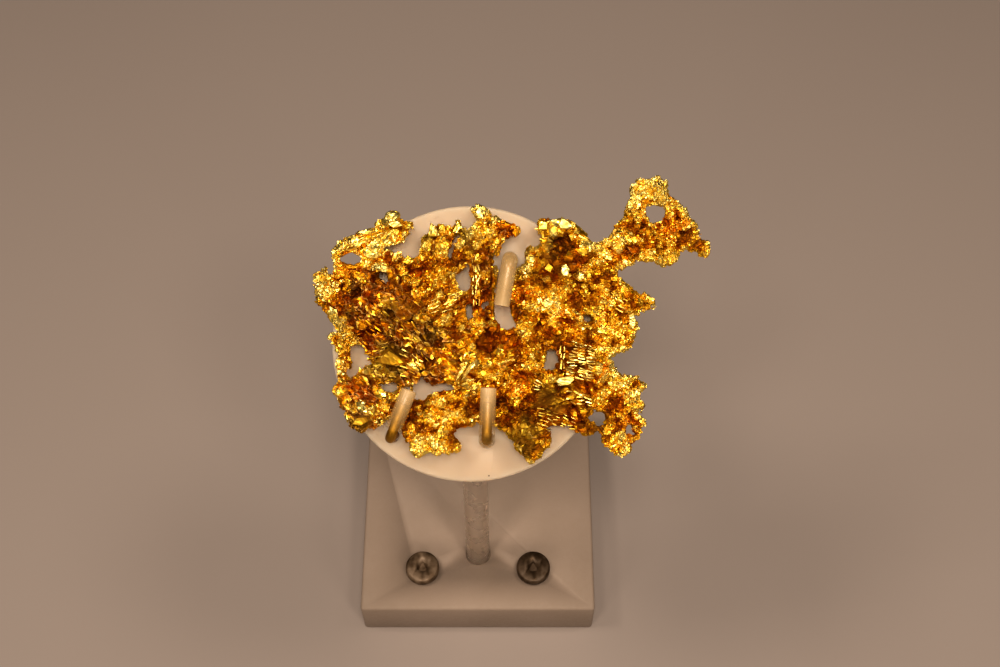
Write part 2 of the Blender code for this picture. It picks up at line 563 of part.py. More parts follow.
def grown_body():
    """All plates and knolls as one closed skin, on the disc's face."""
    made = bmesh.new()
    for plate in PLATES:
        mesh = plate_mesh(*plate)
        made.from_mesh(mesh)
        bpy.data.meshes.remove(mesh)
    bmesh.ops.remove_doubles(made, verts=made.verts, dist=0.001 * MM)
    for (u, v, w), (half_u, half_v, half_w), turn in KNOLLS:
        place = (
            Matrix.Translation((u * MM, v * MM, w * MM))
            @ Matrix.Rotation(math.radians(turn), 4, "Z")
            @ Matrix.Diagonal((half_u * MM, half_v * MM, half_w * MM, 1))
        )
        bmesh.ops.create_icosphere(made, subdivisions=3, radius=1, matrix=place)
    mesh = bpy.data.meshes.new("gold_plates")
    made.to_mesh(mesh)
    made.free()
    body = bpy.data.objects.new("gold_plates", mesh)
    PARTS.objects.link(body)
    skin = body.modifiers.new("skin", "REMESH")
    skin.mode = "VOXEL"
    skin.voxel_size = GOLD_VOXEL
    bpy.context.view_layer.update()
    graph = bpy.context.evaluated_depsgraph_get()
    grown = bpy.data.meshes.new_from_object(body.evaluated_get(graph))
    bpy.data.objects.remove(body)
    return grown


def ragged(point, normal):
    """A point of the skin, moved along its normal by a rough, lumpy amount."""
    grain = point / GOLD_GRAIN
    coarse = noise.fractal(grain, 0.9, 2.1, 3)
    lumps = 0.5 - noise.voronoi(grain)[0][0]
    return point + normal * (GOLD_SWELL + GOLD_ROUGHNESS * (0.7 * coarse + 1.1 * lumps))


def sunk(point):
    """A point of the upper side, lowered where it lies in a hollow."""
    lowered = point.copy()
    over_floor = min(1.0, max(0.0, point.z / MM / HOLLOW_FLOOR - 1))
    for (u, v), reach, depth in HOLLOWS:
        away = math.hypot(point.x / MM - u, point.y / MM - v) / reach
        if away < 1:
            lowered.z -= depth * MM * over_floor * (1 - away**2) ** 2
    return lowered


def nearest_on(start, end, point):
    """The point nearest to a given one on the straight line between two others."""
    along = end - start
    share = (point - start).dot(along) / along.length_squared
    return start + along * min(1.0, max(0.0, share))


def hook_lines():
    """The middle line of each hook, as pairs of ends on the disc's face."""
    lines = []
    for riser, arm_end, _, _ in HOOKS.values():
        foot = Vector((riser[0] * MM, riser[1] * MM, 0))
        elbow = Vector((riser[0] * MM, riser[1] * MM, ARM_HEIGHT))
        end = Vector((arm_end[0] * MM, arm_end[1] * MM, ARM_HEIGHT))
        lines.append((foot, elbow))
        lines.append((elbow, end))
    return lines


def kept_clear(point, lines):
    """A point, moved off the disc and out of the hooks' way."""
    clear = point.copy()
    clear.z = max(clear.z, DISC_CLEARANCE)
    reach = SLEEVE_RADIUS + HOOK_CLEARANCE
    for start, end in lines:
        away = clear - nearest_on(start, end, clear)
        if away.length < reach:
            clear += away.normalized() * (reach - away.length)
    return clear


def openings(matter):
    """Every opening as an upright prism taller than the gold, all in one cutter."""

    def build(made):
        for outline in OPENINGS:
            mesh = plate_mesh(outline, [], -2, 14, (0, 0))
            made.from_mesh(mesh)
            bpy.data.meshes.remove(mesh)
        bmesh.ops.remove_doubles(made, verts=made.verts, dist=0.001 * MM)
        bmesh.ops.recalc_face_normals(made, faces=made.faces)

    return make_cutter(part_from("openings", build, matter, FACE))


def gold(matter):
    """The gold: the grown body, made ragged, hollowed, and thinned to few faces."""
    mesh = grown_body()
    lines = hook_lines()
    for vertex, normal in zip(mesh.vertices, [Vector(v.normal) for v in mesh.vertices]):
        vertex.co = kept_clear(sunk(ragged(vertex.co, normal)), lines)
    mesh.materials.clear()
    mesh.materials.append(matter)
    mesh.name = "gold"
    body = bpy.data.objects.new("gold", mesh)
    body.matrix_world = FACE
    PARTS.objects.link(body)
    thin = body.modifiers.new("few faces", "DECIMATE")
    triangles = sum(len(face.vertices) - 2 for face in mesh.polygons)
    thin.ratio = min(1.0, GOLD_TRIANGLES / triangles)
    thin.use_collapse_triangulate = True
    cut(body, openings(matter))
    return body


def main():
    paint = material("taupe_paint", (0.24, 0.16, 0.11), 0.7)
    rod_plastic = material("clear_rod", (0.80, 0.72, 0.62), 0.15, alpha=0.6)
    frosted = material("frosted_disc", (0.80, 0.60, 0.42), 0.55, alpha=0.9)
    black = material("black_screw", (0.02, 0.016, 0.012), 0.4, metallic=0.6)
    dark_brass = material("dark_wire", (0.18, 0.10, 0.04), 0.35, metallic=1.0)
    vinyl = material("vinyl_sleeve", (0.62, 0.48, 0.32), 0.35, alpha=0.6)
    native_gold = material("native_gold", (0.95, 0.62, 0.16), 0.25, metallic=1.0)

    block(paint)
    post(rod_plastic)
    screw("screw_left", -1, black)
    screw("screw_right", 1, black)
    disc(frosted)
    for name, (riser, arm_end, wire_short, round_elbow) in HOOKS.items():
        hook_wire(name, riser, arm_end, wire_short, dark_brass)
        hook_sleeve(name, riser, arm_end, round_elbow, vinyl)
    gold(native_gold)


main()
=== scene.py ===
# %% [markdown]
# # A gold specimen on its stand
# Native gold sometimes grows as a crust of small crystals, thin leaves and feathery ridges.
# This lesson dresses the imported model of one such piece: the gold, the frosted disc behind it,
# three wire hooks in soft sleeves, and the post, block and screws that hold them up.
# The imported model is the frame: it says where everything is, and nothing here moves it.

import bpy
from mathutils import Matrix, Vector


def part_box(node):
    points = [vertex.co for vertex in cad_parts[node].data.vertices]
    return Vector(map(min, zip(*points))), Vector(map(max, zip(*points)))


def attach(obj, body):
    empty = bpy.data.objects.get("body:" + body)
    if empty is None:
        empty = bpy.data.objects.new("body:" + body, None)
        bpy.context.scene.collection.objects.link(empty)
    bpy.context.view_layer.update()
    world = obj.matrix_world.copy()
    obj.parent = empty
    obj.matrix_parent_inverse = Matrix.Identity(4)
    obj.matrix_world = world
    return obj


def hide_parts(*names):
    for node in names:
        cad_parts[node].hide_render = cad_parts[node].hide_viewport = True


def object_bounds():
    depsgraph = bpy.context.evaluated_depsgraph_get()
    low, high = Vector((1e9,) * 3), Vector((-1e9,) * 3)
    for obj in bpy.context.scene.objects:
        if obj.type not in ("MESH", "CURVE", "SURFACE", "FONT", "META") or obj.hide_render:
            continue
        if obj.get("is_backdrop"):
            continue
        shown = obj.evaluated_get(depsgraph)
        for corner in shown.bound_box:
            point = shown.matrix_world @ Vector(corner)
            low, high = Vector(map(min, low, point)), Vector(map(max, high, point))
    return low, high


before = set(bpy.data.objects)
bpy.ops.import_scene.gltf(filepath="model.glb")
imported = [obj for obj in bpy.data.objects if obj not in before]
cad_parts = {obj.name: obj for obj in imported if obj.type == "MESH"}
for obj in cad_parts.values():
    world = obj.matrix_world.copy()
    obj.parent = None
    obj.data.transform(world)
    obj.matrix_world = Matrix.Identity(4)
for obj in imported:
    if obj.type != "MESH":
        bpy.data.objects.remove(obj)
cad_box = [list(corner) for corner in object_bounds()]
print("nodes:", ", ".join(sorted(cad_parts)))

# %% The tools of this lesson
import math
import random

import bmesh
import bpy
import numpy as np
from mathutils import Matrix, Vector, noise
from mathutils.bvhtree import BVHTree

MM = 0.001

# %% [markdown]
# ## The plane that everything hangs on
# The disc leans back, and the gold and the hooks are laid out on its face. So the first thing
# to read from the frame is that face: its middle, its normal, and a matrix that turns
# (u, v, w) on the face into a place in the room. u runs right, v runs up the disc, w runs out.

# %% Find the face of the disc
def point_table(mesh, fact="co"):
    """A mesh's points, or another vector of each point, as rows of three numbers."""
    table = np.empty(len(mesh.vertices) * 3, np.float32)
    mesh.vertices.foreach_get(fact, table)
    return table.reshape(-1, 3).astype(float)


def set_points(mesh, points):
    mesh.vertices.foreach_set("co", points.astype(np.float32).ravel())
    mesh.update()


def face_of_disc():
    """A matrix whose origin is the middle of the disc's front and whose Z axis is its normal."""
    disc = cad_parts["disc"].data
    upward = [face for face in disc.polygons if face.normal.z > 0.5]
    normal = max(upward, key=lambda face: face.area).normal.normalized()
    low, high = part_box("disc")
    middle = (low + high) / 2
    reach = (point_table(disc) - np.array(middle)) @ np.array(normal)
    right = Vector((1, 0, 0))
    up = normal.cross(right)
    turn = Matrix((right, up, normal)).transposed().to_4x4()
    return Matrix.Translation(middle + normal * reach.max()) @ turn


FACE = face_of_disc()
FACE_NORMAL = FACE.col[2].to_3d()
tilt = round(math.degrees(math.acos(FACE_NORMAL.z)), 2)
print("the disc is tilted by", tilt, "degrees from level")

# %% [markdown]
# ## The camera
# The viewer looks straight down onto the disc, along its normal, from about 29 cm away. Setting
# the camera first means that every later step can be judged in the view that matters.

# %% Place the camera
CAMERA_AWAY = 286.7 * MM
CAMERA_AIM = (6.19 * MM, 2.17 * MM)
# The lens and the sensor are in millimetres, and what the camera clips is in metres.
CAMERA_SETTINGS = {"lens": 50, "sensor_width": 36, "clip_start": 0.01, "clip_end": 20}


def place_camera():
    camera_data = bpy.data.cameras.new("viewer")
    for setting, value in CAMERA_SETTINGS.items():
        setattr(camera_data, setting, value)
    camera = bpy.data.objects.new("viewer", camera_data)
    bpy.context.scene.collection.objects.link(camera)
    camera.matrix_world = FACE @ Matrix.Translation((*CAMERA_AIM, CAMERA_AWAY))
    bpy.context.scene.camera = camera


place_camera()
print("camera looks down by", round(90 - tilt, 1), "degrees")

# %% [markdown]
# ## The room
# A plain pale floor and soft lights, nothing else. Gold shows whatever surrounds it, so the
# lights do two jobs here. Seven warm panels of middling size give the crystals something bright
# to catch, and a dim, warm world gives them something darker to show between the sparks.

# %% Floor and lights
FLOOR_SIZE = 3
FLOOR_ROUGHNESS = 0.9
EXPOSURE = -0.75
FLOOR_COLOUR = (0.325, 0.294, 0.287)
WORLD_COLOUR = (0.42, 0.33, 0.26)
WORLD_STRENGTH = 0.14
LAMP_COLOUR = (1.0, 0.80, 0.62)
# Each panel: its place off the disc's face in metres, its size in metres and its power in watts.
PANELS = {
    "front": ((0.02, 0.07, 0.60), 0.12, 3.0),
    "upper_left": ((-0.34, 0.30, 0.55), 0.16, 2.7),
    "upper_right": ((0.30, 0.32, 0.55), 0.16, 2.1),
    "front_left": ((-0.17, 0.10, 0.68), 0.10, 1.2),
    "front_right": ((0.22, 0.02, 0.66), 0.10, 1.1),
    "lower_left": ((-0.36, -0.34, 0.48), 0.16, 1.0),
    "lower_right": ((0.34, -0.36, 0.48), 0.16, 1.0),
}


def make_floor():
    bpy.ops.mesh.primitive_plane_add(size=FLOOR_SIZE)
    floor = bpy.context.active_object
    floor.name = "floor"
    paper = bpy.data.materials.new("pale_floor")
    paper.use_nodes = True
    shader = paper.node_tree.nodes["Principled BSDF"]
    shader.inputs["Base Color"].default_value = (*FLOOR_COLOUR, 1)
    shader.inputs["Roughness"].default_value = FLOOR_ROUGHNESS
    floor.data.materials.append(paper)
    floor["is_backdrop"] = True


def panel_light(name, place, size, power):
    """A square soft light at a place off the disc's face, turned to face the disc."""
    data = bpy.data.lights.new(name, "AREA")
    data.shape = "SQUARE"
    data.size = size
    data.energy = power
    data.color = LAMP_COLOUR
    light = bpy.data.objects.new(name, data)
    light.location = FACE @ Vector(place)
    light.rotation_euler = (FACE.translation - light.location).to_track_quat("-Z", "Y").to_euler()
    bpy.context.scene.collection.objects.link(light)
    return light


def light_the_room():
    world = bpy.data.worlds.new("dim_warm_room")
    world.use_nodes = True
    background = world.node_tree.nodes["Background"]
    background.inputs["Color"].default_value = (*WORLD_COLOUR, 1)
    background.inputs["Strength"].default_value = WORLD_STRENGTH
    bpy.context.scene.world = world
    return [panel_light(name, *panel) for name, panel in PANELS.items()]


def set_the_look():
    settings = bpy.context.scene.view_settings
    settings.view_transform = "Standard"
    settings.look = "Medium High Contrast"
    settings.exposure = EXPOSURE


make_floor()
panels = light_the_room()
set_the_look()
print("lights:", ", ".join(light.name for light in panels))

# %% [markdown]
# ## Small steps that the rest shares
# Node trees are built from the same small step again and again: add a node, make its settings,
# and feed its inputs. Other helpers close a mesh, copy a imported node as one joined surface, and
# turn an object and its modifiers into a plain mesh. Each is written once and used throughout.

# %% Helpers for trees and meshes
def feed(tree, node, inputs):
    """Links a node's inputs to outputs, or gives them values."""
    for socket, source in dict(inputs).items():
        if isinstance(source, bpy.types.NodeSocket):
            tree.links.new(source, node.inputs[socket])
        else:
            node.inputs[socket].default_value = source


def step(tree, kind, inputs=(), **settings):
    """One node, its settings made and its inputs fed."""
    node = tree.nodes.new(kind)
    for setting, value in settings.items():
        setattr(node, setting, value)
    feed(tree, node, inputs)
    return node


def maths(tree, operation, *values):
    return step(tree, "ShaderNodeMath", dict(enumerate(values)), operation=operation).outputs[0]


def mapped(tree, value, **ends):
    """A value moved from one range to another and held at its ends, which are 0 and 1 if unsaid."""
    inputs = {title.replace("_", " ").title(): end for title, end in ends.items()}
    return step(tree, "ShaderNodeMapRange", {"Value": value, **inputs}).outputs[0]


def named_group(name, kind, inputs, outputs):
    """An empty node tree with named sockets, and its first and last nodes."""
    tree = bpy.data.node_groups.new(name, kind)
    for title, socket in inputs:
        tree.interface.new_socket(title, in_out="INPUT", socket_type=socket)
    for title, socket in outputs:
        tree.interface.new_socket(title, in_out="OUTPUT", socket_type=socket)
    return tree, tree.nodes.new("NodeGroupInput"), tree.nodes.new("NodeGroupOutput")


def add_to_room(name, mesh):
    made = bpy.data.objects.new(name, mesh)
    bpy.context.scene.collection.objects.link(made)
    return made


def mesh_of(name, made):
    """Turns a mesh in the making into a mesh, and puts its workings away."""
    mesh = bpy.data.meshes.new(name)
    made.to_mesh(mesh)
    made.free()
    return mesh


def smoothed(mesh, degrees):
    """Shades a mesh smooth, but for the edges that turn more sharply than this."""
    mesh.shade_smooth()
    mesh.set_sharp_from_angle(angle=math.radians(degrees))
    return mesh


def welded_copy(node, name):
    """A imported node's mesh as a new object, its loose triangles merged into one surface."""
    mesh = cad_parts[node].data.copy()
    merged = bmesh.new()
    merged.from_mesh(mesh)
    bmesh.ops.remove_doubles(merged, verts=merged.verts, dist=0.002 * MM)
    merged.to_mesh(mesh)
    merged.free()
    mesh.name = name
    return add_to_room(name, mesh)


def with_modifiers_applied(obj):
    """The object, with its modifiers' result as its plain mesh."""
    graph = bpy.context.evaluated_depsgraph_get()
    mesh = bpy.data.meshes.new_from_object(obj.evaluated_get(graph))
    mesh.name = obj.name
    obj.modifiers.clear()
    obj.data = mesh
    return obj


def finished(piece, matter, node):
    """Gives a piece its material and its ride, and hides the node it stands for."""
    piece.data.materials.clear()
    piece.data.materials.append(matter)
    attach(piece, "root")
    if node:
        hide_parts(node)
    return piece


print("helpers ready")

# %% [markdown]
# ## Two effects that the materials share
# Real surfaces vary. The first group gives a soft, cloudy mask, to mix two shades of a colour.
# The second gives fine grain, as a normal that tips from grain to grain and a fleck of chance
# brightness for each grain. Every finish below uses one or both, with its own values, so each
# is built once as a node group.

# %% Build the shared shader groups
FLOAT = "NodeSocketFloat"
VECTOR = "NodeSocketVector"
CLOUD_DETAIL = 3.0
CLOUD_START = 0.35
CLOUD_END = 0.65


def cloudy_group():
    sizes = [("Scale", FLOAT), ("Low", FLOAT), ("High", FLOAT)]
    tree, entry, leave = named_group("cloudy_mask", "ShaderNodeTree", sizes, [("Mask", FLOAT)])
    scale, low, high = [entry.outputs[title] for title, _ in sizes]
    place = step(tree, "ShaderNodeTexCoord").outputs["Object"]
    clouds = {"Vector": place, "Scale": scale, "Detail": CLOUD_DETAIL}
    cloud = step(tree, "ShaderNodeTexNoise", clouds).outputs["Fac"]
    mask = mapped(tree, cloud, from_min=CLOUD_START, from_max=CLOUD_END, to_min=low, to_max=high)
    feed(tree, leave, {"Mask": mask})
    return tree


def grain_group():
    sizes = [("Place", VECTOR), ("Scale", FLOAT), ("Depth", FLOAT), ("Strength", FLOAT)]
    results = [("Normal", VECTOR), ("Fleck", FLOAT)]
    tree, entry, leave = named_group("fine_grain", "ShaderNodeTree", sizes, results)
    place, scale, depth, strength = [entry.outputs[title] for title, _ in sizes]
    grains = step(tree, "ShaderNodeTexVoronoi", {"Vector": place, "Scale": scale})
    hills = {"Height": grains.outputs["Distance"], "Distance": depth, "Strength": strength}
    bump = step(tree, "ShaderNodeBump", hills)
    fleck = step(tree, "ShaderNodeSeparateColor", {"Color": grains.outputs["Color"]})
    feed(tree, leave, {"Normal": bump.outputs[0], "Fleck": fleck.outputs[0]})
    return tree


CLOUDY = cloudy_group()
GRAIN = grain_group()
print("shared effects:", CLOUDY.name, "and", GRAIN.name)

# %% Use them in a material
def new_material(name):
    made = bpy.data.materials.new(name)
    made.use_nodes = True
    return made, made.node_tree, made.node_tree.nodes["Principled BSDF"]


def cloudy_mask(tree, size, low=0.0, high=1.0):
    """The cloudy mask in a material, its clouds this many metres across."""
    values = {"Scale": 1 / size, "Low": low, "High": high}
    return step(tree, "ShaderNodeGroup", values, node_tree=CLOUDY).outputs["Mask"]


def fine_grain(tree, size, depth, strength, place=None):
    """The grain group in a material: its normal and its fleck."""
    where = place or step(tree, "ShaderNodeTexCoord").outputs["Object"]
    values = {"Place": where, "Scale": 1 / size, "Depth": depth, "Strength": strength}
    group = step(tree, "ShaderNodeGroup", values, node_tree=GRAIN)
    return group.outputs["Normal"], group.outputs["Fleck"]


def mixed(tree, mask, first, second, blend="MIX"):
    """Two colours, or the outputs that carry them, mixed by a mask."""
    first, second = [
        colour if isinstance(colour, bpy.types.NodeSocket) else (*colour, 1)
        for colour in (first, second)
    ]
    inputs = {0: mask, 6: first, 7: second}
    return step(tree, "ShaderNodeMix", inputs, data_type="RGBA", blend_type=blend).outputs[2]


def two_shades(tree, clouds, shades, grain, roughness):
    """A surface in two cloudy shades under fine grain, as a shader's inputs. Clouds and grain,
    which is its size, its depth and its strength, are in millimetres."""
    size, depth, strength = grain
    normal, fleck = fine_grain(tree, size * MM, depth * MM, strength)
    return {
        "Base Color": mixed(tree, cloudy_mask(tree, clouds * MM), *shades),
        "Roughness": mapped(tree, fleck, to_min=roughness[0], to_max=roughness[1]),
        "Normal": normal,
    }


print("materials may use cloudy_mask, fine_grain, mixed and two_shades")

# %% [markdown]
# ## The gold's colour
# Clean gold is a rich yellow, and its high edges are painted yellower still, as painted light. In
# the hollows, light bounces from gold to gold and turns orange, shade falls, and stains lie there
# too. So each point of the gold carries a number called hollow, from the palest places, a little
# below 0, to 1 in the depths, and the colour follows it: darker and more orange is painted shade
# and painted bounce light, partly stain. A second number, tone, mixes in a dark olive below 0, a
# painted reflection of the dim room, and an orange above it, painted bounce light. A leaf's rim
# is painted pale, a painted highlight. Gold with a high hollow value and olive gold is duller as
# well, so the same numbers roughen it.

# %% Make the gold material
HOLLOW_COLOURS = [
    (-0.25, (1.0, 0.89, 0.32)),
    (0.0, (0.96, 0.76, 0.21)),
    (0.3, (0.90, 0.635, 0.070)),
    (0.6, (0.66, 0.36, 0.014)),
    (0.85, (0.44, 0.165, 0.006)),
    (1.0, (0.30, 0.088, 0.002)),
]
OLIVE = (0.25, 0.172, 0.022)
ORANGE = (0.95, 0.70, 0.36)
EDGE_TINT = (0.92, 0.70, 0.26)
RIM_HIGHLIGHT = (1.0, 0.78, 0.32)
LEAST_HOLLOW = HOLLOW_COLOURS[0][0]
GOLD_GRAIN = (0.40 * MM, 0.22 * MM, 0.7)
SPECKLE = {"to_min": -0.16, "to_max": 0.22}
TONE_CLOUDS = (2.5 * MM, -0.35, 0.35)
OLIVE_REACH = {"from_max": -0.9, "to_max": 0.65}
ORANGE_REACH = {"from_max": 0.8}
RIM_HIGHLIGHT_SHARE = 0.3
POLISH = {"to_min": 0.26, "to_max": 0.46}
OLIVE_DULLNESS = 0.25
HOLLOW_DULLNESS = {"from_min": 0.25, "to_max": 0.22}


def hollow_colours(tree, depth):
    """The colour of gold for each depth, from painted light at the least hollow to painted shade in the
    deepest hollows.
    """
    node = step(tree, "ShaderNodeValToRGB", {"Fac": mapped(tree, depth, from_min=LEAST_HOLLOW)})
    stops = node.color_ramp.elements
    stops[0].color = (*HOLLOW_COLOURS[0][1], 1)
    stops[1].color = (*HOLLOW_COLOURS[-1][1], 1)
    for hollowness, colour in HOLLOW_COLOURS[1:-1]:
        stops.new((hollowness - LEAST_HOLLOW) / (1 - LEAST_HOLLOW)).color = (*colour, 1)
    return node.outputs[0]


def gold_material():
    made, tree, shader = new_material("native_gold")
    hollow, tone, rim, grain = [
        step(tree, "ShaderNodeAttribute", attribute_name=name)
        for name in ("hollow", "tone", "rim", "grain_place")
    ]
    normal, fleck = fine_grain(tree, *GOLD_GRAIN, grain.outputs["Vector"])
    # The hollow value paints shade and bounce light into the colour, partly stain; flecks vary it at
    # random.
    depth = maths(tree, "ADD", hollow.outputs["Fac"], mapped(tree, fleck, **SPECKLE))
    toned = maths(tree, "ADD", tone.outputs["Fac"], cloudy_mask(tree, *TONE_CLOUDS))
    # Olive is a painted reflection of the dim room, and orange is painted bounce light.
    olive = mapped(tree, toned, **OLIVE_REACH)
    colour = mixed(tree, olive, hollow_colours(tree, depth), OLIVE)
    colour = mixed(tree, mapped(tree, toned, **ORANGE_REACH), colour, ORANGE, "MULTIPLY")
    # A leaf's rim is painted paler, a painted highlight along its edge.
    rim_highlight = maths(tree, "MULTIPLY", rim.outputs["Fac"], RIM_HIGHLIGHT_SHARE)
    colour = mixed(tree, rim_highlight, colour, RIM_HIGHLIGHT)
    dulled = maths(tree, "MULTIPLY_ADD", olive, OLIVE_DULLNESS, mapped(tree, fleck, **POLISH))
    dulled = maths(tree, "ADD", dulled, mapped(tree, depth, **HOLLOW_DULLNESS))
    feed(tree, shader, {"Base Color": colour, "Roughness": dulled, "Normal": normal})
    feed(tree, shader, {"Metallic": 1, "Specular Tint": (*EDGE_TINT, 1)})
    return made


gold = gold_material()
print(gold.name, "has", len(gold.node_tree.nodes), "nodes")

# %% [markdown]
# ## The gold's own skin
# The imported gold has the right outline, lobes and openings but few faces. More faces could come
# from subdividing it, but they would be long and uneven. So a copy of it is laid on the face's
# own axes and remeshed by voxels into a fine, even skin, ready to be roughened.

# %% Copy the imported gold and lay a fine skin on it
SKIN_STEP = 0.31 * MM


def surface_of(obj):
    """A tree that finds the nearest point of an object's surface, or where a ray meets it."""
    faces = bmesh.new()
    faces.from_mesh(obj.data)
    tree = BVHTree.FromBMesh(faces)
    faces.free()
    return tree


def fine_skin():
    skin = welded_copy("gold", "gold_skin")
    skin.data.transform(FACE.inverted())
    packed = surface_of(skin)
    remesh = skin.modifiers.new("fine skin", "REMESH")
    remesh.mode = "VOXEL"
    remesh.voxel_size = SKIN_STEP
    remesh.adaptivity = 0
    return with_modifiers_applied(skin), packed


gold_skin, packed_gold = fine_skin()
print("gold skin:", len(gold_skin.data.vertices), "points,", len(gold_skin.data.polygons), "faces")

# %% [markdown]
# ## Where the gold is leafy, grainy or smooth
# No two lobes of a specimen grew alike. So the roughness is not one noise everywhere: each
# habit, as a collector would call it, has its own crystal size, its own stretch and lean, and
# a place on the gold where it rules. A point belongs to the habit whose patch it is deepest in.

# %% Name the habits and their places
# Each habit: the size and the stretch of its crystals, the way they run in degrees, how far
# their faces lean, the height of the lumps under them and the coarseness of their finest grain.
# Then how thickly leaves, crystals and grit grow on it, and how large they grow. Sizes are
# millimetres.
HABIT_FACTS = (
    "size", "stretch", "runs", "lean", "lumps", "grain", "leaves", "crystals", "grit", "growth"
)
HABIT_TABLE = {
    "sheet": (1.5, 2.2, 28, 0.42, 0.55, 2.0, 0.15, 0.1, 0.2, 1.0),
    "spikes": (0.9, 1.4, 110, 0.95, 0.85, 1.2, 0.7, 0.6, 0.8, 0.8),
    "leaves": (1.3, 2.6, -38, 0.95, 1.15, 1.7, 1.0, 0.1, 0.25, 1.2),
    "needles": (0.7, 1.8, 35, 1.0, 0.65, 1.0, 1.0, 0.2, 0.8, 0.6),
    "feather": (0.6, 3.6, 84, 0.85, 0.55, 1.2, 0.8, 0.1, 0.4, 0.7),
    "spray": (0.8, 1.9, 60, 0.85, 0.7, 1.2, 0.6, 0.5, 0.8, 0.8),
    "blocks": (1.4, 1.1, 20, 0.75, 1.05, 2.4, 0.05, 1.0, 0.3, 1.7),
    "grains": (0.9, 1.2, -15, 0.85, 0.9, 1.3, 0.1, 1.0, 0.9, 1.1),
    "ridges": (0.6, 4.5, -14, 0.9, 0.55, 1.2, 0.0, 0.0, 0.05, 0.8),
    "sponge": (0.8, 1.3, 70, 0.95, 1.0, 1.2, 0.15, 0.9, 1.2, 0.9),
    "clumps": (1.2, 1.1, 0, 0.7, 1.05, 2.0, 0.1, 0.9, 0.6, 1.4),
}
HABITS = {name: dict(zip(HABIT_FACTS, facts)) for name, facts in HABIT_TABLE.items()}
# Each patch: its habit, its middle (u, v) and its reach, in millimetres.
PATCHES = [
    ("sheet", (-20.0, 21.5), 6.5), ("sheet", (-15.0, 24.0), 4.0), ("spikes", (-28.5, 11.5), 4.5),
    ("spikes", (-26.0, 0.0), 3.5), ("leaves", (-17.0, 4.0), 7.5), ("leaves", (-12.0, -3.5), 7.5),
    ("leaves", (-19.0, 12.0), 4.5), ("needles", (-5.0, 8.0), 4.2), ("sponge", (-11.0, 14.0), 4.5),
    ("spray", (-6.0, 21.0), 4.5), ("feather", (2.4, 12.5), 3.6), ("feather", (2.4, 7.0), 3.0),
    ("spray", (3.6, 22.5), 5.5), ("blocks", (18.0, 19.5), 7.5), ("grains", (13.0, 8.0), 6.5),
    ("grains", (27.0, 10.0), 8.0), ("grains", (28.0, 2.0), 6.0), ("blocks", (5.0, -1.0), 5.5),
    ("grains", (13.0, -3.0), 4.5), ("ridges", (23.4, -4.4), 4.4), ("ridges", (17.5, -14.0), 5.0),
    ("grains", (8.0, -10.0), 5.5), ("ridges", (21.5, -10.5), 3.6), ("sponge", (31.5, -12.0), 6.5),
    ("clumps", (12.0, -19.0), 4.5), ("sponge", (-7.5, -15.5), 7.0), ("leaves", (-21.0, -12.0), 6.5),
    ("grains", (31.0, 21.0), 6.0), ("sponge", (38.0, 29.0), 6.0), ("sponge", (44.0, 23.0), 5.0),
]
print(len(HABITS), "habits in", len(PATCHES), "patches")

# %% [markdown]
# Other things go by place too, and each has its own list of round patches: recesses between
# the lobes, zones of painted shade and painted light, openings, and places painted olive or
# orange as painted reflections. Painting them by hand on the mesh would be lost at each run,
# and a list of places is not.

# %% Name the other places on the gold
# In each list, a place is its middle (u, v), its reach and its depth or strength, with lengths
# in millimetres. Deep recesses between the lobes come first.
SINKS = [
    (-23.0, 10.3, 1.6, 2.4), (-26.3, 11.3, 1.2, 1.6), (-18.9, 12.2, 1.6, 1.6),
    (-10.5, 14.6, 1.5, 1.6), (-20.5, 1.2, 2.4, 1.2), (-10.0, -5.0, 1.8, 2.0),
    (-15.5, 5.5, 1.5, 1.4), (-6.0, 0.4, 1.4, 1.6), (3.6, 0.6, 2.3, 2.0), (17.8, 19.6, 2.8, 2.4),
    (14.0, 17.0, 1.5, 1.2), (11.8, -14.8, 2.2, 2.0), (6.6, -12.0, 1.6, 1.6), (18.0, -5.4, 1.3, 1.2),
    (21.5, -14.8, 1.8, 1.4), (-14.8, -15.5, 1.8, 1.6), (-23.5, -10.8, 1.6, 1.4),
    (34.8, 24.9, 1.6, 1.2), (41.6, 26.6, 1.6, 1.0), (44.0, 21.8, 1.6, 1.2), (2.0, 9.0, 1.4, 1.4),
]
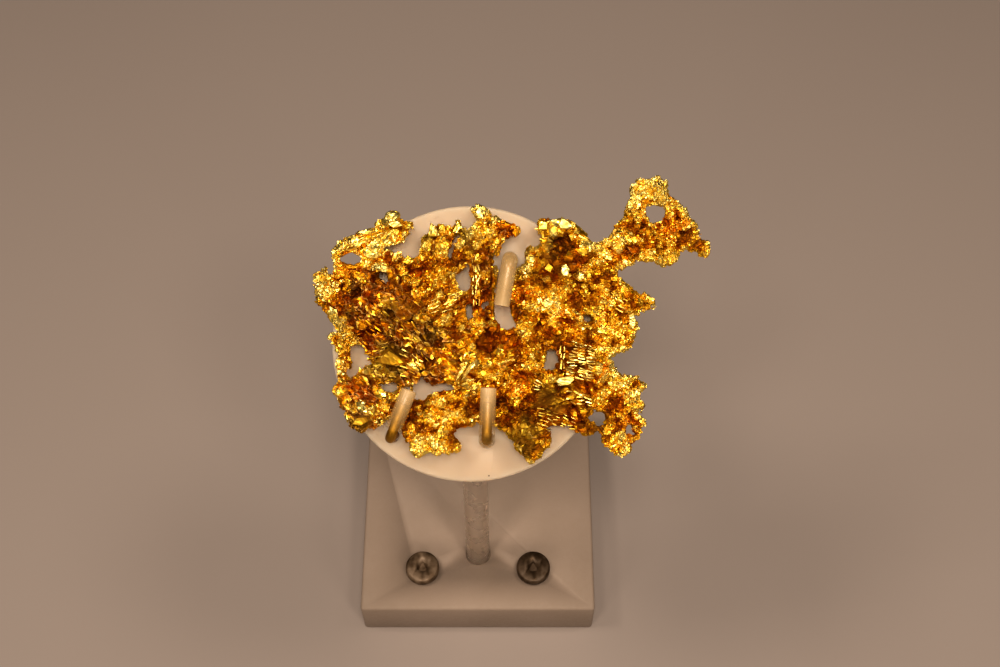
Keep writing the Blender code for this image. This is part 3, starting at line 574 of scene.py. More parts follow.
# Zones of painted shade, partly stain, where the gold lies low, and zones of painted light, where its
# colour is painted paler.
SHADE_AND_STAIN_ZONES = [
    (22.6, 7.4, 2.8, 1.1), (-22.4, -17.0, 3.0, 1.5), (8.0, -2.6, 2.6, 1.4), (2.4, -7.4, 2.6, 1.3),
    (7.0, -21.0, 2.0, 0.8), (-28.0, 7.4, 2.8, 1.0), (-9.0, 2.0, 4.5, 1.5), (-2.5, 2.0, 3.0, 1.3),
    (22.2, -8.4, 3.2, 1.4), (-11.8, -12.0, 3.0, 1.5), (2.4, -12.0, 2.4, 1.2),
    (17.8, -17.6, 3.4, 1.8), (2.4, 17.2, 2.8, 1.4), (8.0, 22.4, 2.8, 1.2), (7.5, 7.0, 2.4, 1.0),
    (-16.5, 2.0, 6.5, 1.5), (-22.6, 8.4, 5.2, 1.8), (-12.4, -3.0, 6.0, 3.4), (-13.0, 7.5, 5.0, 1.4),
    (-8.5, 15.0, 3.0, 1.0), (-4.6, -2.0, 4.4, 1.2), (-6.8, -6.4, 3.6, 1.8), (2.2, 13.2, 3.4, 1.6),
    (2.0, 8.0, 3.8, 1.7), (-2.8, 5.2, 3.0, 1.0), (-2.2, 18.2, 3.2, 1.5), (15.6, 24.6, 3.0, 0.7),
    (-24.0, 16.6, 2.2, 0.9), (-17.6, 12.6, 4.0, 1.6), (28.0, 4.4, 2.6, 0.8), (7.0, 1.2, 4.0, 1.6),
    (13.0, -8.8, 3.2, 1.3), (8.0, -14.0, 6.0, 1.1), (-1.0, -18.0, 3.5, 1.4),
    (17.0, -13.0, 6.5, 0.9), (12.8, -21.0, 4.0, 1.6), (26.0, -15.5, 5.0, 0.9),
    (30.5, -17.0, 2.4, 0.9), (13.5, 4.5, 3.2, 0.8), (18.2, -2.0, 3.8, 1.9), (17.2, 2.4, 3.2, 1.5),
    (22.0, -17.4, 3.0, 1.6), (17.5, 18.5, 5.0, 1.1), (21.8, 17.6, 3.4, 1.8), (27.0, 13.2, 3.2, 1.2),
    (32.5, 9.0, 2.4, 0.8), (11.0, 13.0, 3.0, 0.5), (-14.0, -16.5, 3.8, 1.6),
    (-23.2, -9.2, 3.8, 1.6), (36.5, 22.5, 3.6, 0.7), (44.5, 20.5, 2.8, 1.0), (23.2, -4.4, 4.2, 1.0),
    (14.0, -8.8, 2.0, 1.3), (17.0, -14.5, 5.5, 1.4),
]
PAINTED_LIGHT_ZONES = [
    (34.0, 28.0, 4.0, 2.0), (38.6, 24.6, 2.0, 1.2), (-19.5, 22.5, 8.5, 1.8),
    (-31.0, 13.0, 5.0, 2.2), (-28.0, 3.0, 3.2, 1.4), (-27.0, -3.5, 3.4, 1.4),
    (-27.0, 18.2, 3.6, 1.8), (3.0, 25.0, 5.0, 2.0), (10.4, 15.6, 3.2, 2.2), (13.6, 21.2, 2.8, 1.6),
    (15.6, 8.6, 3.0, 1.0), (22.4, 2.6, 3.4, 1.8), (30.0, -3.8, 3.8, 2.2), (28.0, 20.0, 4.2, 1.5),
    (38.0, 32.5, 6.5, 2.2), (44.6, 26.0, 3.6, 1.8), (32.5, -8.5, 3.5, 0.9), (36.0, -14.5, 3.0, 1.4),
    (30.5, -21.0, 3.0, 0.8), (-5.6, -13.2, 3.6, 1.6), (-8.5, -20.5, 4.0, 0.7),
    (-18.4, -13.4, 3.0, 1.8), (-0.8, -5.6, 2.4, 1.2), (8.0, -7.4, 2.6, 1.2), (28.0, -7.5, 3.4, 1.8),
    (0.2, -15.5, 1.8, 1.0), (-25.0, 2.0, 3.2, 1.6), (3.4, -2.2, 1.6, 0.8),
]
# The openings, where nothing may grow across.
OPENING_ZONES = [
    (-3.2, 19.8, 2.3, 1), (-1.2, 13.8, 3.3, 1), (-0.1, 6.2, 2.0, 1), (3.2, 7.8, 1.4, 1),
    (6.9, 5.4, 3.4, 1), (-17.7, 14.1, 2.0, 1), (-14.8, 19.4, 3.2, 1), (-25.0, 17.6, 2.6, 1),
    (-23.0, -1.5, 2.6, 1), (-23.8, -5.3, 2.6, 1), (-16.8, -8.8, 3.2, 1), (-9.5, -8.8, 3.4, 1),
    (-5.4, -8.8, 3.0, 1), (16.6, -3.2, 2.8, 1), (37.8, 26.6, 2.6, 1), (36.4, 34.0, 1.6, 1),
    (24.0, 5.2, 1.6, 1), (26.2, -15.2, 2.4, 1), (33.1, -17.8, 1.7, 1), (25.6, -19.2, 2.0, 1),
]
# Where the gold is painted olive, a painted reflection of the dim room, and where it is painted orange,
# painted bounce light from gold to gold.
OLIVE_REFLECTION_PATCHES = [
    (-16.5, -3.0, 5.5, 1.6), (-8.0, 1.5, 4.5, 1.2), (-19.0, -5.5, 3.5, 1.2),
    (-22.5, -15.5, 3.5, 1.3), (-15.0, 6.5, 4.5, 0.8), (-1.0, 21.0, 3.0, 1.2),
    (-7.5, 21.5, 3.0, 1.0), (3.6, 15.5, 2.6, 0.9), (16.0, -10.5, 5.5, 1.3), (11.0, -19.0, 5.0, 1.5),
    (16.5, 17.5, 4.5, 0.8), (16.0, 23.0, 2.5, 0.7), (25.0, -16.5, 4.0, 0.8), (-26.0, 5.5, 3.0, 0.7),
]
ORANGE_BOUNCE_PATCHES = [
    (-20.5, 1.0, 3.5, 1.8), (-24.5, 16.0, 3.0, 1.2), (-25.0, 8.5, 3.4, 0.8), (-19.5, 9.5, 3.0, 0.9),
    (-10.5, 15.0, 3.5, 1.0), (-6.0, -1.5, 3.5, 0.8), (-22.5, -9.0, 4.5, 1.0), (8.4, 24.2, 3.0, 1.5),
    (15.0, 24.5, 2.0, 1.3), (2.5, 8.0, 3.0, 0.9), (10.5, 10.5, 3.0, 1.0), (8.0, 1.0, 3.5, 0.6),
    (10.5, -9.0, 4.5, 1.0), (19.5, 4.5, 3.5, 1.0), (27.6, -4.6, 1.6, 1.2), (31.0, 19.0, 3.0, 0.7),
    (32.0, -15.0, 4.0, 0.7), (41.0, 24.0, 4.0, 0.9), (-0.5, -17.0, 2.5, 0.8),
]
print(len(SHADE_AND_STAIN_ZONES), "dark zones,", len(PAINTED_LIGHT_ZONES), "bright ones and", len(OPENING_ZONES), "openings")

# %% List the large faces
# Each large face: its outline (u, v), its height over the skin, its lean along u and v, and its
# hollow value, which sets how much painted shade its colour takes. Nothing else grows where one stands.
LARGE_FACES = [
    ([(17.4, -7.4), (18.2, -6.7), (20.4, -6.5), (21.2, -7.2), (20.2, -8.3), (18.0, -8.5)],
     1.2, (0.06, 0.16), 0.0),
    ([(17.7, 24.0), (18.6, 25.8), (19.8, 25.0), (21.1, 23.7), (20.0, 23.0), (18.2, 23.2)],
     1.2, (0.06, 0.14), 0.0),
    ([(13.8, 23.0), (14.0, 25.1), (15.9, 24.8), (15.8, 22.8)], 1.0, (0.25, -0.05), 0.5),
    ([(18.3, 14.4), (18.6, 16.0), (19.5, 16.3), (20.2, 15.2), (19.9, 13.7), (18.9, 13.4)],
     1.3, (-0.1, 0.12), 0.05),
    ([(21.4, 13.2), (22.0, 14.9), (23.5, 14.5), (23.3, 12.8), (22.2, 12.5)],
     1.3, (0.05, 0.15), 0.0),
    ([(15.0, 15.2), (16.0, 16.4), (17.0, 15.6), (16.4, 14.4)], 0.9, (-0.2, 0.1), 0.45),
    ([(-19.4, -3.7), (-16.4, -0.6), (-14.6, -2.2), (-12.4, -4.2), (-15.4, -4.4)],
     0.6, (0.22, -0.05), 0.8),
    ([(-23.9, -16.3), (-23.0, -14.9), (-20.9, -14.6), (-20.3, -15.6), (-22.0, -16.6)],
     0.6, (-0.2, -0.22), 0.6),
    ([(-2.9, -8.0), (-2.2, -6.6), (-0.6, -4.8), (-0.3, -3.9), (-1.5, -4.4), (-2.8, -6.4)],
     1.4, (0.12, 0.08), 0.0),
    ([(-1.7, -7.8), (-0.1, -5.8), (1.3, -4.2), (1.0, -3.2), (-0.2, -4.4), (-1.3, -6.4)],
     1.2, (0.12, 0.08), 0.0),
    ([(-17.0, 24.4), (-14.4, 25.0), (-13.2, 23.9), (-15.2, 23.4)], 0.5, (-0.08, 0.2), 0.0),
    ([(14.4, 8.3), (15.6, 9.4), (17.4, 8.6), (16.9, 7.4), (15.2, 7.4)], 1.0, (0.1, 0.14), 0.0),
    ([(-8.6, 21.6), (-8.0, 24.8), (-7.0, 24.0), (-5.8, 21.9)], 0.7, (0.25, 0.1), 0.2),
    ([(-3.6, 22.6), (-2.4, 25.2), (-1.7, 24.0), (-2.4, 22.4)], 0.5, (-0.3, 0.12), 0.2),
    ([(-13.8, 16.6), (-12.4, 18.4), (-11.0, 16.8), (-12.2, 16.0)], 0.7, (0.15, -0.3), 0.45),
    ([(1.1, 26.9), (2.0, 28.0), (3.4, 26.6), (3.0, 25.0), (1.8, 25.2)], 0.9, (0.12, 0.16), 0.0),
    ([(33.2, 2.9), (33.9, 4.6), (33.2, 6.4), (32.2, 5.8), (32.4, 3.6)], 0.9, (0.05, 0.14), 0.0),
    ([(28.4, -5.8), (29.5, -4.5), (29.3, -3.4), (28.1, -4.2)], 0.8, (0.08, 0.14), 0.0),
]
print(len(LARGE_FACES), "large faces stand where nothing else grows")

# %% Find what rules at a point
# How sharply the zone of an opening, and that of a large face, goes from 0 to 1 at its edge,
# and how far the latter reaches past the outline's mean radius, as a share.
OPENING_EDGE = 2.5
LARGE_FACE_EDGE = 4
LARGE_FACE_REACH = 1.15


def habit_at(points):
    """The index into PATCHES of the patch that each point (u, v, w) lies deepest in."""
    depth = np.empty((len(PATCHES), len(points)))
    for row, (_, (u, v), reach) in enumerate(PATCHES):
        away = np.hypot(points[:, 0] / MM - u, points[:, 1] / MM - v)
        depth[row] = 1 - away / reach
    return depth.argmax(axis=0)


def depth_in(patches, points):
    """How deep each point lies in the patches of a list. Waves a few millimetres long make
    their round outlines stray a little."""
    u, v = points[:, 0] / MM, points[:, 1] / MM
    stray_u = u + 0.9 * np.sin(0.9 * v + 1.7 * np.sin(0.6 * u)) + 0.5 * np.sin(2.3 * u + 1.9 * v)
    stray_v = v + 0.9 * np.sin(0.8 * u + 1.9 * np.sin(0.7 * v)) + 0.5 * np.sin(2.1 * v - 1.7 * u)
    deepest = np.zeros(len(points))
    for x, y, reach, depth in patches:
        inside = depth * (1 - np.hypot(stray_u - x, stray_v - y) / reach)
        deepest = np.maximum(deepest, inside)
    return deepest


def near_openings(points):
    """1 at an opening and its rim, and 0 a few millimetres away."""
    return np.clip(OPENING_EDGE * depth_in(OPENING_ZONES, points), 0, 1)


def under_large_faces(points):
    """1 where a large face stands, and 0 a millimetre away from its outline."""
    u, v = points[:, 0] / MM, points[:, 1] / MM
    found = np.zeros(len(points))
    for outline, _, _, _ in LARGE_FACES:
        corners = np.array(outline)
        middle = corners.mean(axis=0)
        reach = LARGE_FACE_REACH * np.hypot(*(corners - middle).T).mean()
        found = np.maximum(found, 1 - np.hypot(u - middle[0], v - middle[1]) / reach)
    return np.clip(LARGE_FACE_EDGE * found, 0, 1)


print("a point's place now tells its habit and its zones")

# %% [markdown]
# ## Crystal faces by moving points
# A crystal face is flat. Voronoi noise splits space into cells round scattered centres, and
# here every cell gets a random lean, so that the skin inside one cell tips as one flat face.
# Broad plates carry small faces, folds run between them, and a crack follows each plate's edge.
# A bump in the material would be cheaper, but it would leave the outline smooth.

# %% Roughen the skin
# Lengths are millimetres. First the plates, their cracks and the small faces on them.
PLATE_SIZE = 3.2
PLATE_STRETCH = 1.3
PLATE_LEAN = 0.75
PLATE_HEIGHT = 0.32
FACE_HEIGHT = 0.22
CRACK_DEPTH = 0.9
CRACK_WIDTH = 0.16
# The folds: their size, the dimension, lacunarity, octaves, offset and gain of their noise, its
# middle value, and how far they may fall and rise.
FOLD_SIZE = 3.4
FOLD_NOISE = (0.95, 2.1, 4, 1.0, 1.8)
FOLD_MIDDLE = 1.2
FOLD_FALL, FOLD_RISE = -1.3, 0.7
# How far noise warps the pattern and how broad its waves are, and how much the skin sinks.
WARP = 0.9
WARP_SIZE = 3.0
SKIN_SINK = 0.35
# How deep the recesses go and how soon they take hold as a face turns to the front, and how the
# sides of the gold swell but not those of an opening.
PIT_DEPTH = 1.6
PIT_FACING = 1.5
DEEPEST = 2.6
FRONT_FACING = 0.3
SIDE_SWELL = 0.30
SIDE_SHARE = 0.9
OPENING_SHARE = 0.35
OPENING_SINK = 0.15
# What makes a point hollow, and so painted with shade: how many in a hundred points lie lower
# than where it starts, over what fall it grows, and the weights of the fall, the zones of painted
# shade and light, and the recesses.
SUNK_BELOW = 72
SUNK_RANGE = 1.5
SUNK_WEIGHT, PAINTED_ZONE_WEIGHT, PIT_WEIGHT = 0.8, 0.8, 0.9
HOLLOW_EVERYWHERE = 0.07
# One of the noises below is seeded from the clock unless it is given a seed.
NOISE_SEED = 5
# Sets the centres of neighbouring cells far enough apart for each to get a lean of its own.
CENTRE_SPREAD = 7.31


def leaning_face(place, lean):
    """The height of a flat leaning face, and how near the place is to the face's edge."""
    distances, centres = noise.voronoi(place)
    slope = noise.cell_vector(centres[0] * CENTRE_SPREAD) - Vector((0.5, 0.5, 0.5))
    height = lean * (2 * slope.dot(place - centres[0]) + 0.5 * slope.x)
    return height, distances[1] - distances[0]


def relief(place, habit, turn):
    """How far a point of the skin moves along its normal, in millimetres."""
    along = turn @ (place + noise.noise_vector(place / WARP_SIZE) * WARP)
    stretched = Vector((along.x / habit["stretch"], along.y, along.z))
    broad = Vector((along.x / PLATE_STRETCH, along.y, along.z))
    plate, crack = leaning_face(broad / PLATE_SIZE, PLATE_LEAN)
    face, _ = leaning_face(stretched / habit["size"], habit["lean"])
    fold = noise.ridged_multi_fractal(stretched / FOLD_SIZE, *FOLD_NOISE) - FOLD_MIDDLE
    height = PLATE_HEIGHT * PLATE_SIZE * plate + FACE_HEIGHT * habit["size"] * face
    height += habit["lumps"] * max(FOLD_FALL, min(FOLD_RISE, fold))
    height -= CRACK_DEPTH * max(0.0, 1 - crack / CRACK_WIDTH)
    return height - SKIN_SINK


def roughen(skin):
    """Moves every point of the skin by its habit's relief, and describes what it became."""
    mesh = skin.data
    points = point_table(mesh)
    normals = point_table(mesh, "normal")
    outward = normals[:, 2]
    turns = {
        name: Matrix.Rotation(math.radians(-habit["runs"]), 3, "Z") for name, habit in HABITS.items()
    }
    names = [PATCHES[row][0] for row in habit_at(points)]
    places = [Vector(point) for point in points / MM]
    moves = np.array([relief(p, HABITS[name], turns[name]) for p, name in zip(places, names)])
    painted_shade_and_light = depth_in(SHADE_AND_STAIN_ZONES, points) - depth_in(PAINTED_LIGHT_ZONES, points)
    pits = depth_in(SINKS, points) * np.clip(PIT_FACING * outward, 0, 1)
    moves -= np.minimum(PIT_DEPTH * pits, DEEPEST)
    sunk = np.clip((np.percentile(moves, SUNK_BELOW) - moves) / SUNK_RANGE, 0, 1)
    sideways = 1 - np.abs(outward)
    open_air = near_openings(points)
    side_share = SIDE_SHARE - (SIDE_SHARE - OPENING_SHARE) * open_air
    moves *= np.where(outward > FRONT_FACING, 1.0, side_share)
    moves += sideways * (SIDE_SWELL * (1 - open_air) - OPENING_SINK * open_air)
    set_points(mesh, points + normals * moves[:, None] * MM)
    # The hollow value paints shade: low points, recesses and the zones of painted shade darken the
    # colour, partly as stain, and the zones of painted light pale it.
    hollows = SUNK_WEIGHT * sunk + PAINTED_ZONE_WEIGHT * painted_shade_and_light + PIT_WEIGHT * pits + HOLLOW_EVERYWHERE
    hollows = np.clip(hollows, LEAST_HOLLOW, 1)
    return dict(moves=moves, normals=normals, habits=names, pits=pits, hollows=hollows)


noise.seed_set(NOISE_SEED)
skin_facts = roughen(gold_skin)
lowest, highest = skin_facts["moves"].min(), skin_facts["moves"].max()
print("the skin moved by", round(lowest, 2), "to", round(highest, 2), "mm")

# %% Write what grows where onto the skin
# How thickly things grow on a face that looks sideways, how much more on one that looks out at
# the front, and the least. The same for how large they grow. Then how soon a recess stops all
# growth, and how far out a face must look for growth beside an opening.
ROOM = (0.55, 0.7, 0.12)
GROWTH = (0.7, 0.45, 0.45)
PIT_STOP = 2.5
OPENING_LOOK = 1.3


def by_outlook(outward, share):
    sideways, more, least = share
    return np.clip(sideways + more * outward, least, 1)


def write_attribute(mesh, name, kind, values):
    written = mesh.attributes.new(name, kind, "POINT")
    field = "value" if kind == "FLOAT" else "vector"
    written.data.foreach_set(field, np.asarray(values, np.float32).ravel())


def describe_skin(mesh, facts):
    """The numbers that the growing trees and the gold material read at each point."""
    outward = facts["normals"][:, 2]
    points = point_table(mesh)
    room = by_outlook(outward, ROOM) * np.clip(1 - PIT_STOP * facts["pits"], 0, 1)
    room *= 1 - near_openings(points) * np.clip(OPENING_LOOK - outward, 0, 1)
    room *= 1 - under_large_faces(points)

    def of_habit(fact):
        return np.array([HABITS[name][fact] for name in facts["habits"]])

    angles = np.radians(of_habit("runs"))
    runs = np.stack([np.cos(angles), np.sin(angles), np.zeros(len(angles))], axis=1)
    write_attribute(mesh, "broad_normal", "FLOAT_VECTOR", facts["normals"])
    write_attribute(mesh, "run", "FLOAT_VECTOR", runs)
    write_attribute(mesh, "leaf_share", "FLOAT", room * of_habit("leaves"))
    write_attribute(mesh, "crystal_share", "FLOAT", room * of_habit("crystals"))
    write_attribute(mesh, "grit_share", "FLOAT", room * of_habit("grit"))
    growth = of_habit("growth") * by_outlook(outward, GROWTH)
    write_attribute(mesh, "growth_size", "FLOAT", growth)
    write_attribute(mesh, "hollow", "FLOAT", facts["hollows"])


describe_skin(gold_skin.data, skin_facts)
print("the skin carries:", ", ".join(a.name for a in gold_skin.data.attributes if a.name[0] != "."))

# %% [markdown]
# ## Crystals, leaves and ridges by Geometry Nodes
# What repeats by the hundred is not made by hand. A few small shapes are drawn once, and a node
# tree sets copies of them on the skin, each turned, leaned and sized by chance from a fixed
# seed. The shapes that are copied by the thousand have a few dozen faces. The foils, of which
# there are only a few hundred, have more, because their folds show. Later the copies are
# crumpled a little, so that no two stay alike.

# %% Draw the small crystals
def tight_round(made):
    """Closes a mesh in the making as the shape stretched tight round its points."""
    bmesh.ops.convex_hull(made, input=made.verts)
    loose = [vertex for vertex in made.verts if not vertex.link_faces]
    bmesh.ops.delete(made, geom=loose, context="VERTS")
    bmesh.ops.recalc_face_normals(made, faces=made.faces)


def stretched_round(name, points):
    made = bmesh.new()
    for point in points:
        made.verts.new(point)
    tight_round(made)
    return bpy.data.objects.new(name, mesh_of(name, made))


def strayed(corners, chance, stray, copies):
    """Half-size corners, each as a few points that stray from it by chance."""
    points = []
    for corner in corners:
        for _ in range(copies):
            aside = Vector([chance.uniform(-stray, stray) for _ in range(3)])
            points.append((Vector(corner) + aside) * 0.5)
    return points


def box_corners(x, y, z):
    return [(i * x, j * y, k * z) for i in (-1, 1) for j in (-1, 1) for k in (-1, 1)]


OCTAHEDRON = [(1, 0, 0), (0, 1, 0), (0, 0, 1), (-1, 0, 0), (0, -1, 0), (0, 0, -1)]
WEDGE_FOOT = [(-0.8, -0.6, -0.5), (0.8, -0.7, -0.4), (0.7, 0.6, -0.5), (-0.7, 0.8, -0.5)]
# Each stubby crystal, one unit across: its corners and its seed.
CRYSTAL_CORNERS = {
    "octahedron": (OCTAHEDRON, 2),
    "cube": (box_corners(0.7, 0.7, 0.7), 5),
    "long_cube": (box_corners(1.0, 0.5, 0.55), 7),
    "wedge": ([*WEDGE_FOOT, (-0.1, -0.6, 0.8), (0.2, 0.7, 0.6)], 11),
}
CRYSTAL_WEAR = 0.22
SPECK_SEED = 17
SPECK_WEAR = 0.35
RIDGE_SEED = 23


def crystal_shapes():
    """Stubby crystals whose corners are each worn into a few small faces."""
    return [
        stretched_round(name, strayed(corners, random.Random(seed), CRYSTAL_WEAR, 3))
        for name, (corners, seed) in CRYSTAL_CORNERS.items()
    ]


def grit_shapes():
    """Specks of crystal with the fewest faces, for the thousands that only give a glint."""
    chance = random.Random(SPECK_SEED)
    return [
        stretched_round(f"speck_{number}", strayed(OCTAHEDRON, chance, SPECK_WEAR, 1))
        for number in range(4)
    ]


def ridge_shapes():
    """Low ridges of crystal, like the worn teeth of a comb."""
    chance = random.Random(RIDGE_SEED)
    ridges = []
    for number in range(4):
        points = [(x, y, -0.4) for x in (-0.5, 0.5) for y in (-0.12, 0.12)]
        for x in (-0.45, -0.15, 0.15, 0.45):
            bow = 0.05 * (1 - 4 * x * x) * (number - 1.5)
            for side in (-1, 1):
                y = bow + side * chance.uniform(0.03, 0.09)
                points.append((x * chance.uniform(0.8, 1.1), y, chance.uniform(0.06, 0.17)))
        ridges.append(stretched_round(f"ridge_{number}", points))
    return ridges


print("worn crystals:", ", ".join(CRYSTAL_CORNERS))

# %% Draw the leaves and foils
# A leaf's thickness and cells, how raggedly its outline reaches out, how much of each corner is
# cut away, how uneven it is, and how close its folds are.
LEAF_THICKNESS = 0.05
LEAF_CELLS = (4, 3)
RAGGED = (0.82, 1.08)
CORNER_CUT = 1.2
UNEVEN = 0.05
FOLD_RATE = 2.2
# Each leaf: its seed, its length, its bend and its twist, where its width is 1. A foil adds how
# many cells it has each way and how strongly it is folded.
LEAF_TABLE = {
    "long_leaf": (3, 2.6, 0.4, 0.3),
    "broad_leaf": (5, 1.3, -0.4, 0.6),
    "cupped_leaf": (8, 1.9, 0.6, -0.4),
    "twisted_leaf": (12, 2.2, 0.2, 1.0),
}
FOIL_TABLE = {
    "long_foil": (21, 2.2, 0.3, 0.4, (9, 6), 0.5),
    "round_foil": (25, 1.2, -0.4, 0.5, (7, 6), 0.6),
    "cupped_foil": (28, 1.6, 0.6, -0.5, (8, 6), 0.5),
    "creased_foil": (32, 1.9, -0.3, 0.7, (9, 6), 0.7),
    "curled_foil": (36, 1.5, 0.9, 0.3, (8, 6), 0.5),
}


def leaf_shape(name, seed, long, bend, twist, cells=LEAF_CELLS, folds=0.0):
    """A thin crumpled leaf with a ragged outline. Its rim attribute is 1 round the edge."""
    columns, rows = cells
    chance = random.Random(seed)
    made = bmesh.new()
    rim = made.verts.layers.float.new("rim")
    upper, lower = {}, {}
    for column in range(columns + 1):
        for row in range(rows + 1):
            x, y = column / columns - 0.5, row / rows - 0.5
            edge = column in (0, columns) or row in (0, rows)
            reach = (chance.uniform(*RAGGED) if edge else 1) * (1 - CORNER_CUT * abs(x * y))
            lift = bend * x * x + twist * x * y + chance.uniform(-UNEVEN, UNEVEN)
            fold = Vector((FOLD_RATE * x * long, FOLD_RATE * y, seed))
            lift += folds * abs(noise.noise(fold))
            for sheet, side in ((upper, LEAF_THICKNESS), (lower, 0)):
                corner = made.verts.new((x * long * reach, y * reach, lift + side))
                corner[rim] = float(edge)
                sheet[column, row] = corner
    for column in range(columns):
        for row in range(rows):
            around = [(column, row), (column + 1, row), (column + 1, row + 1), (column, row + 1)]
            made.faces.new([upper[corner] for corner in around])
            made.faces.new([lower[corner] for corner in around[::-1]])
    outline = [(column, 0) for column in range(columns)] + [(columns, row) for row in range(rows)]
    outline += [(columns - column, rows - row) for column, row in outline]
    for here, beside in zip(outline, outline[1:] + outline[:1]):
        made.faces.new((lower[here], lower[beside], upper[beside], upper[here]))
    bmesh.ops.recalc_face_normals(made, faces=made.faces)
    return bpy.data.objects.new(name, mesh_of(name, made))


def shape_collection(name, shapes):
    collection = bpy.data.collections.new(name)
    for shape in shapes:
        collection.objects.link(shape)
    return collection


CRYSTALS = shape_collection("crystal_shapes", crystal_shapes())
LEAVES = shape_collection("leaf_shapes", [leaf_shape(name, *leaf) for name, leaf in LEAF_TABLE.items()])
FOILS = shape_collection("foil_shapes", [leaf_shape(name, *foil) for name, foil in FOIL_TABLE.items()])
RIDGES = shape_collection("ridge_shapes", ridge_shapes())
GRIT = shape_collection("grit_shapes", grit_shapes())

# %% [markdown]
# Both trees end alike. A copy stands along the skin's broad normal and runs the way its habit
# runs, then leans by chance. Its size is a chance size times the skin's growth_size. The copies
# are made real, shoved about by noise, and painted. One tree scatters its points over the skin,
# and the other takes points that are already in ranks.

# %% Build the two growing trees
SHARED_INPUTS = [
    ("Geometry", "NodeSocketGeometry"),
    ("Shapes", "NodeSocketCollection"),
    *[(title, FLOAT) for title in ("Smallest", "Largest", "Lean", "Crumple", "Crumple size")],
    ("Material", "NodeSocketMaterial"),
    ("Seed", "NodeSocketInt"),
]


def attribute(tree, name, kind="FLOAT"):
    return step(tree, "GeometryNodeInputNamedAttribute", {"Name": name}, data_type=kind).outputs[0]


def by_chance(tree, entry, low, high, kind, first_socket):
    """A random value for each point, between two values."""
    ends = {first_socket: low, first_socket + 1: high, "Seed": entry.outputs["Seed"]}
    return step(tree, "FunctionNodeRandomValue", ends, data_type=kind)


def chance_rotation(tree, entry):
    """Along the broad normal and the run, then leaned by chance either way."""
    upright = {"Vector": attribute(tree, "broad_normal", "FLOAT_VECTOR")}
    outward = step(tree, "FunctionNodeAlignRotationToVector", upright, axis="Z")
    running = {"Rotation": outward.outputs[0], "Vector": attribute(tree, "run", "FLOAT_VECTOR")}
    along = step(tree, "FunctionNodeAlignRotationToVector", running, axis="X", pivot_axis="Z")
    most = entry.outputs["Lean"]
    least = maths(tree, "MULTIPLY", most, -1.0)
    low, high = [
        step(tree, "ShaderNodeCombineXYZ", {0: end, 1: end, 2: end}).outputs[0] for end in (least, most)
    ]
    turn = by_chance(tree, entry, low, high, "FLOAT_VECTOR", 0)
    leaning = {"Rotation": along.outputs[0], "Rotate By": turn.outputs[0]}
    return step(tree, "FunctionNodeRotateRotation", leaning, rotation_space="LOCAL").outputs[0]


def crumpled(tree, entry, geometry):
    """Geometry whose points are shoved about by noise."""
    scale = maths(tree, "DIVIDE", 1.0, entry.outputs["Crumple size"])
    place = step(tree, "GeometryNodeInputPosition").outputs[0]
    waves = step(tree, "ShaderNodeTexNoise", {"Vector": place, "Scale": scale, "Detail": 1.0})
    either_way = {0: waves.outputs["Color"], 1: (0.5, 0.5, 0.5)}
    centred = step(tree, "ShaderNodeVectorMath", either_way, operation="SUBTRACT")
    amount = {0: centred.outputs[0], "Scale": entry.outputs["Crumple"]}
    shove = step(tree, "ShaderNodeVectorMath", amount, operation="SCALE")
    moved = {"Geometry": geometry, "Offset": shove.outputs[0]}
    return step(tree, "GeometryNodeSetPosition", moved).outputs[0]


def set_shapes_on(tree, entry, leave, points):
    """The steps that both trees end with."""
    smallest, largest = entry.outputs["Smallest"], entry.outputs["Largest"]
    size = by_chance(tree, entry, smallest, largest, "FLOAT", 2).outputs[1]
    drawn = {"Collection": entry.outputs["Shapes"], "Separate Children": True}
    placed = {
        "Points": points,
        "Instance": step(tree, "GeometryNodeCollectionInfo", drawn).outputs[0],
        "Pick Instance": True,
        "Rotation": chance_rotation(tree, entry),
        "Scale": maths(tree, "MULTIPLY", size, attribute(tree, "growth_size")),
    }
    copies = step(tree, "GeometryNodeInstanceOnPoints", placed).outputs[0]
    real = step(tree, "GeometryNodeRealizeInstances", {0: copies}).outputs[0]
    paint = {"Geometry": crumpled(tree, entry, real), "Material": entry.outputs["Material"]}
    feed(tree, leave, {0: step(tree, "GeometryNodeSetMaterial", paint).outputs[0]})
    return tree


def scattering_tree():
    inputs = [*SHARED_INPUTS, ("Share", "NodeSocketString"), ("Per square millimetre", FLOAT)]
    tree, entry, leave = named_group(
        "scatter_on_skin", "GeometryNodeTree", inputs, SHARED_INPUTS[:1]
    )
    share = attribute(tree, entry.outputs["Share"])
    crowd = maths(tree, "MULTIPLY", share, entry.outputs["Per square millimetre"])
    ground = {
        "Mesh": entry.outputs["Geometry"],
        "Density": maths(tree, "MULTIPLY", crowd, 1 / MM**2),
        "Seed": entry.outputs["Seed"],
    }
    points = step(tree, "GeometryNodeDistributePointsOnFaces", ground)
    return set_shapes_on(tree, entry, leave, points.outputs["Points"])


def ranking_tree():
    tree, entry, leave = named_group(
        "set_in_ranks", "GeometryNodeTree", SHARED_INPUTS, SHARED_INPUTS[:1]
    )
    return set_shapes_on(tree, entry, leave, entry.outputs["Geometry"])


def identifier(tree, title):
    """A modifier's input is set by its socket's identifier, which is found by its name."""
    return next(
        item.identifier
        for item in tree.interface.items_tree
        if item.in_out == "INPUT" and item.name == title
    )


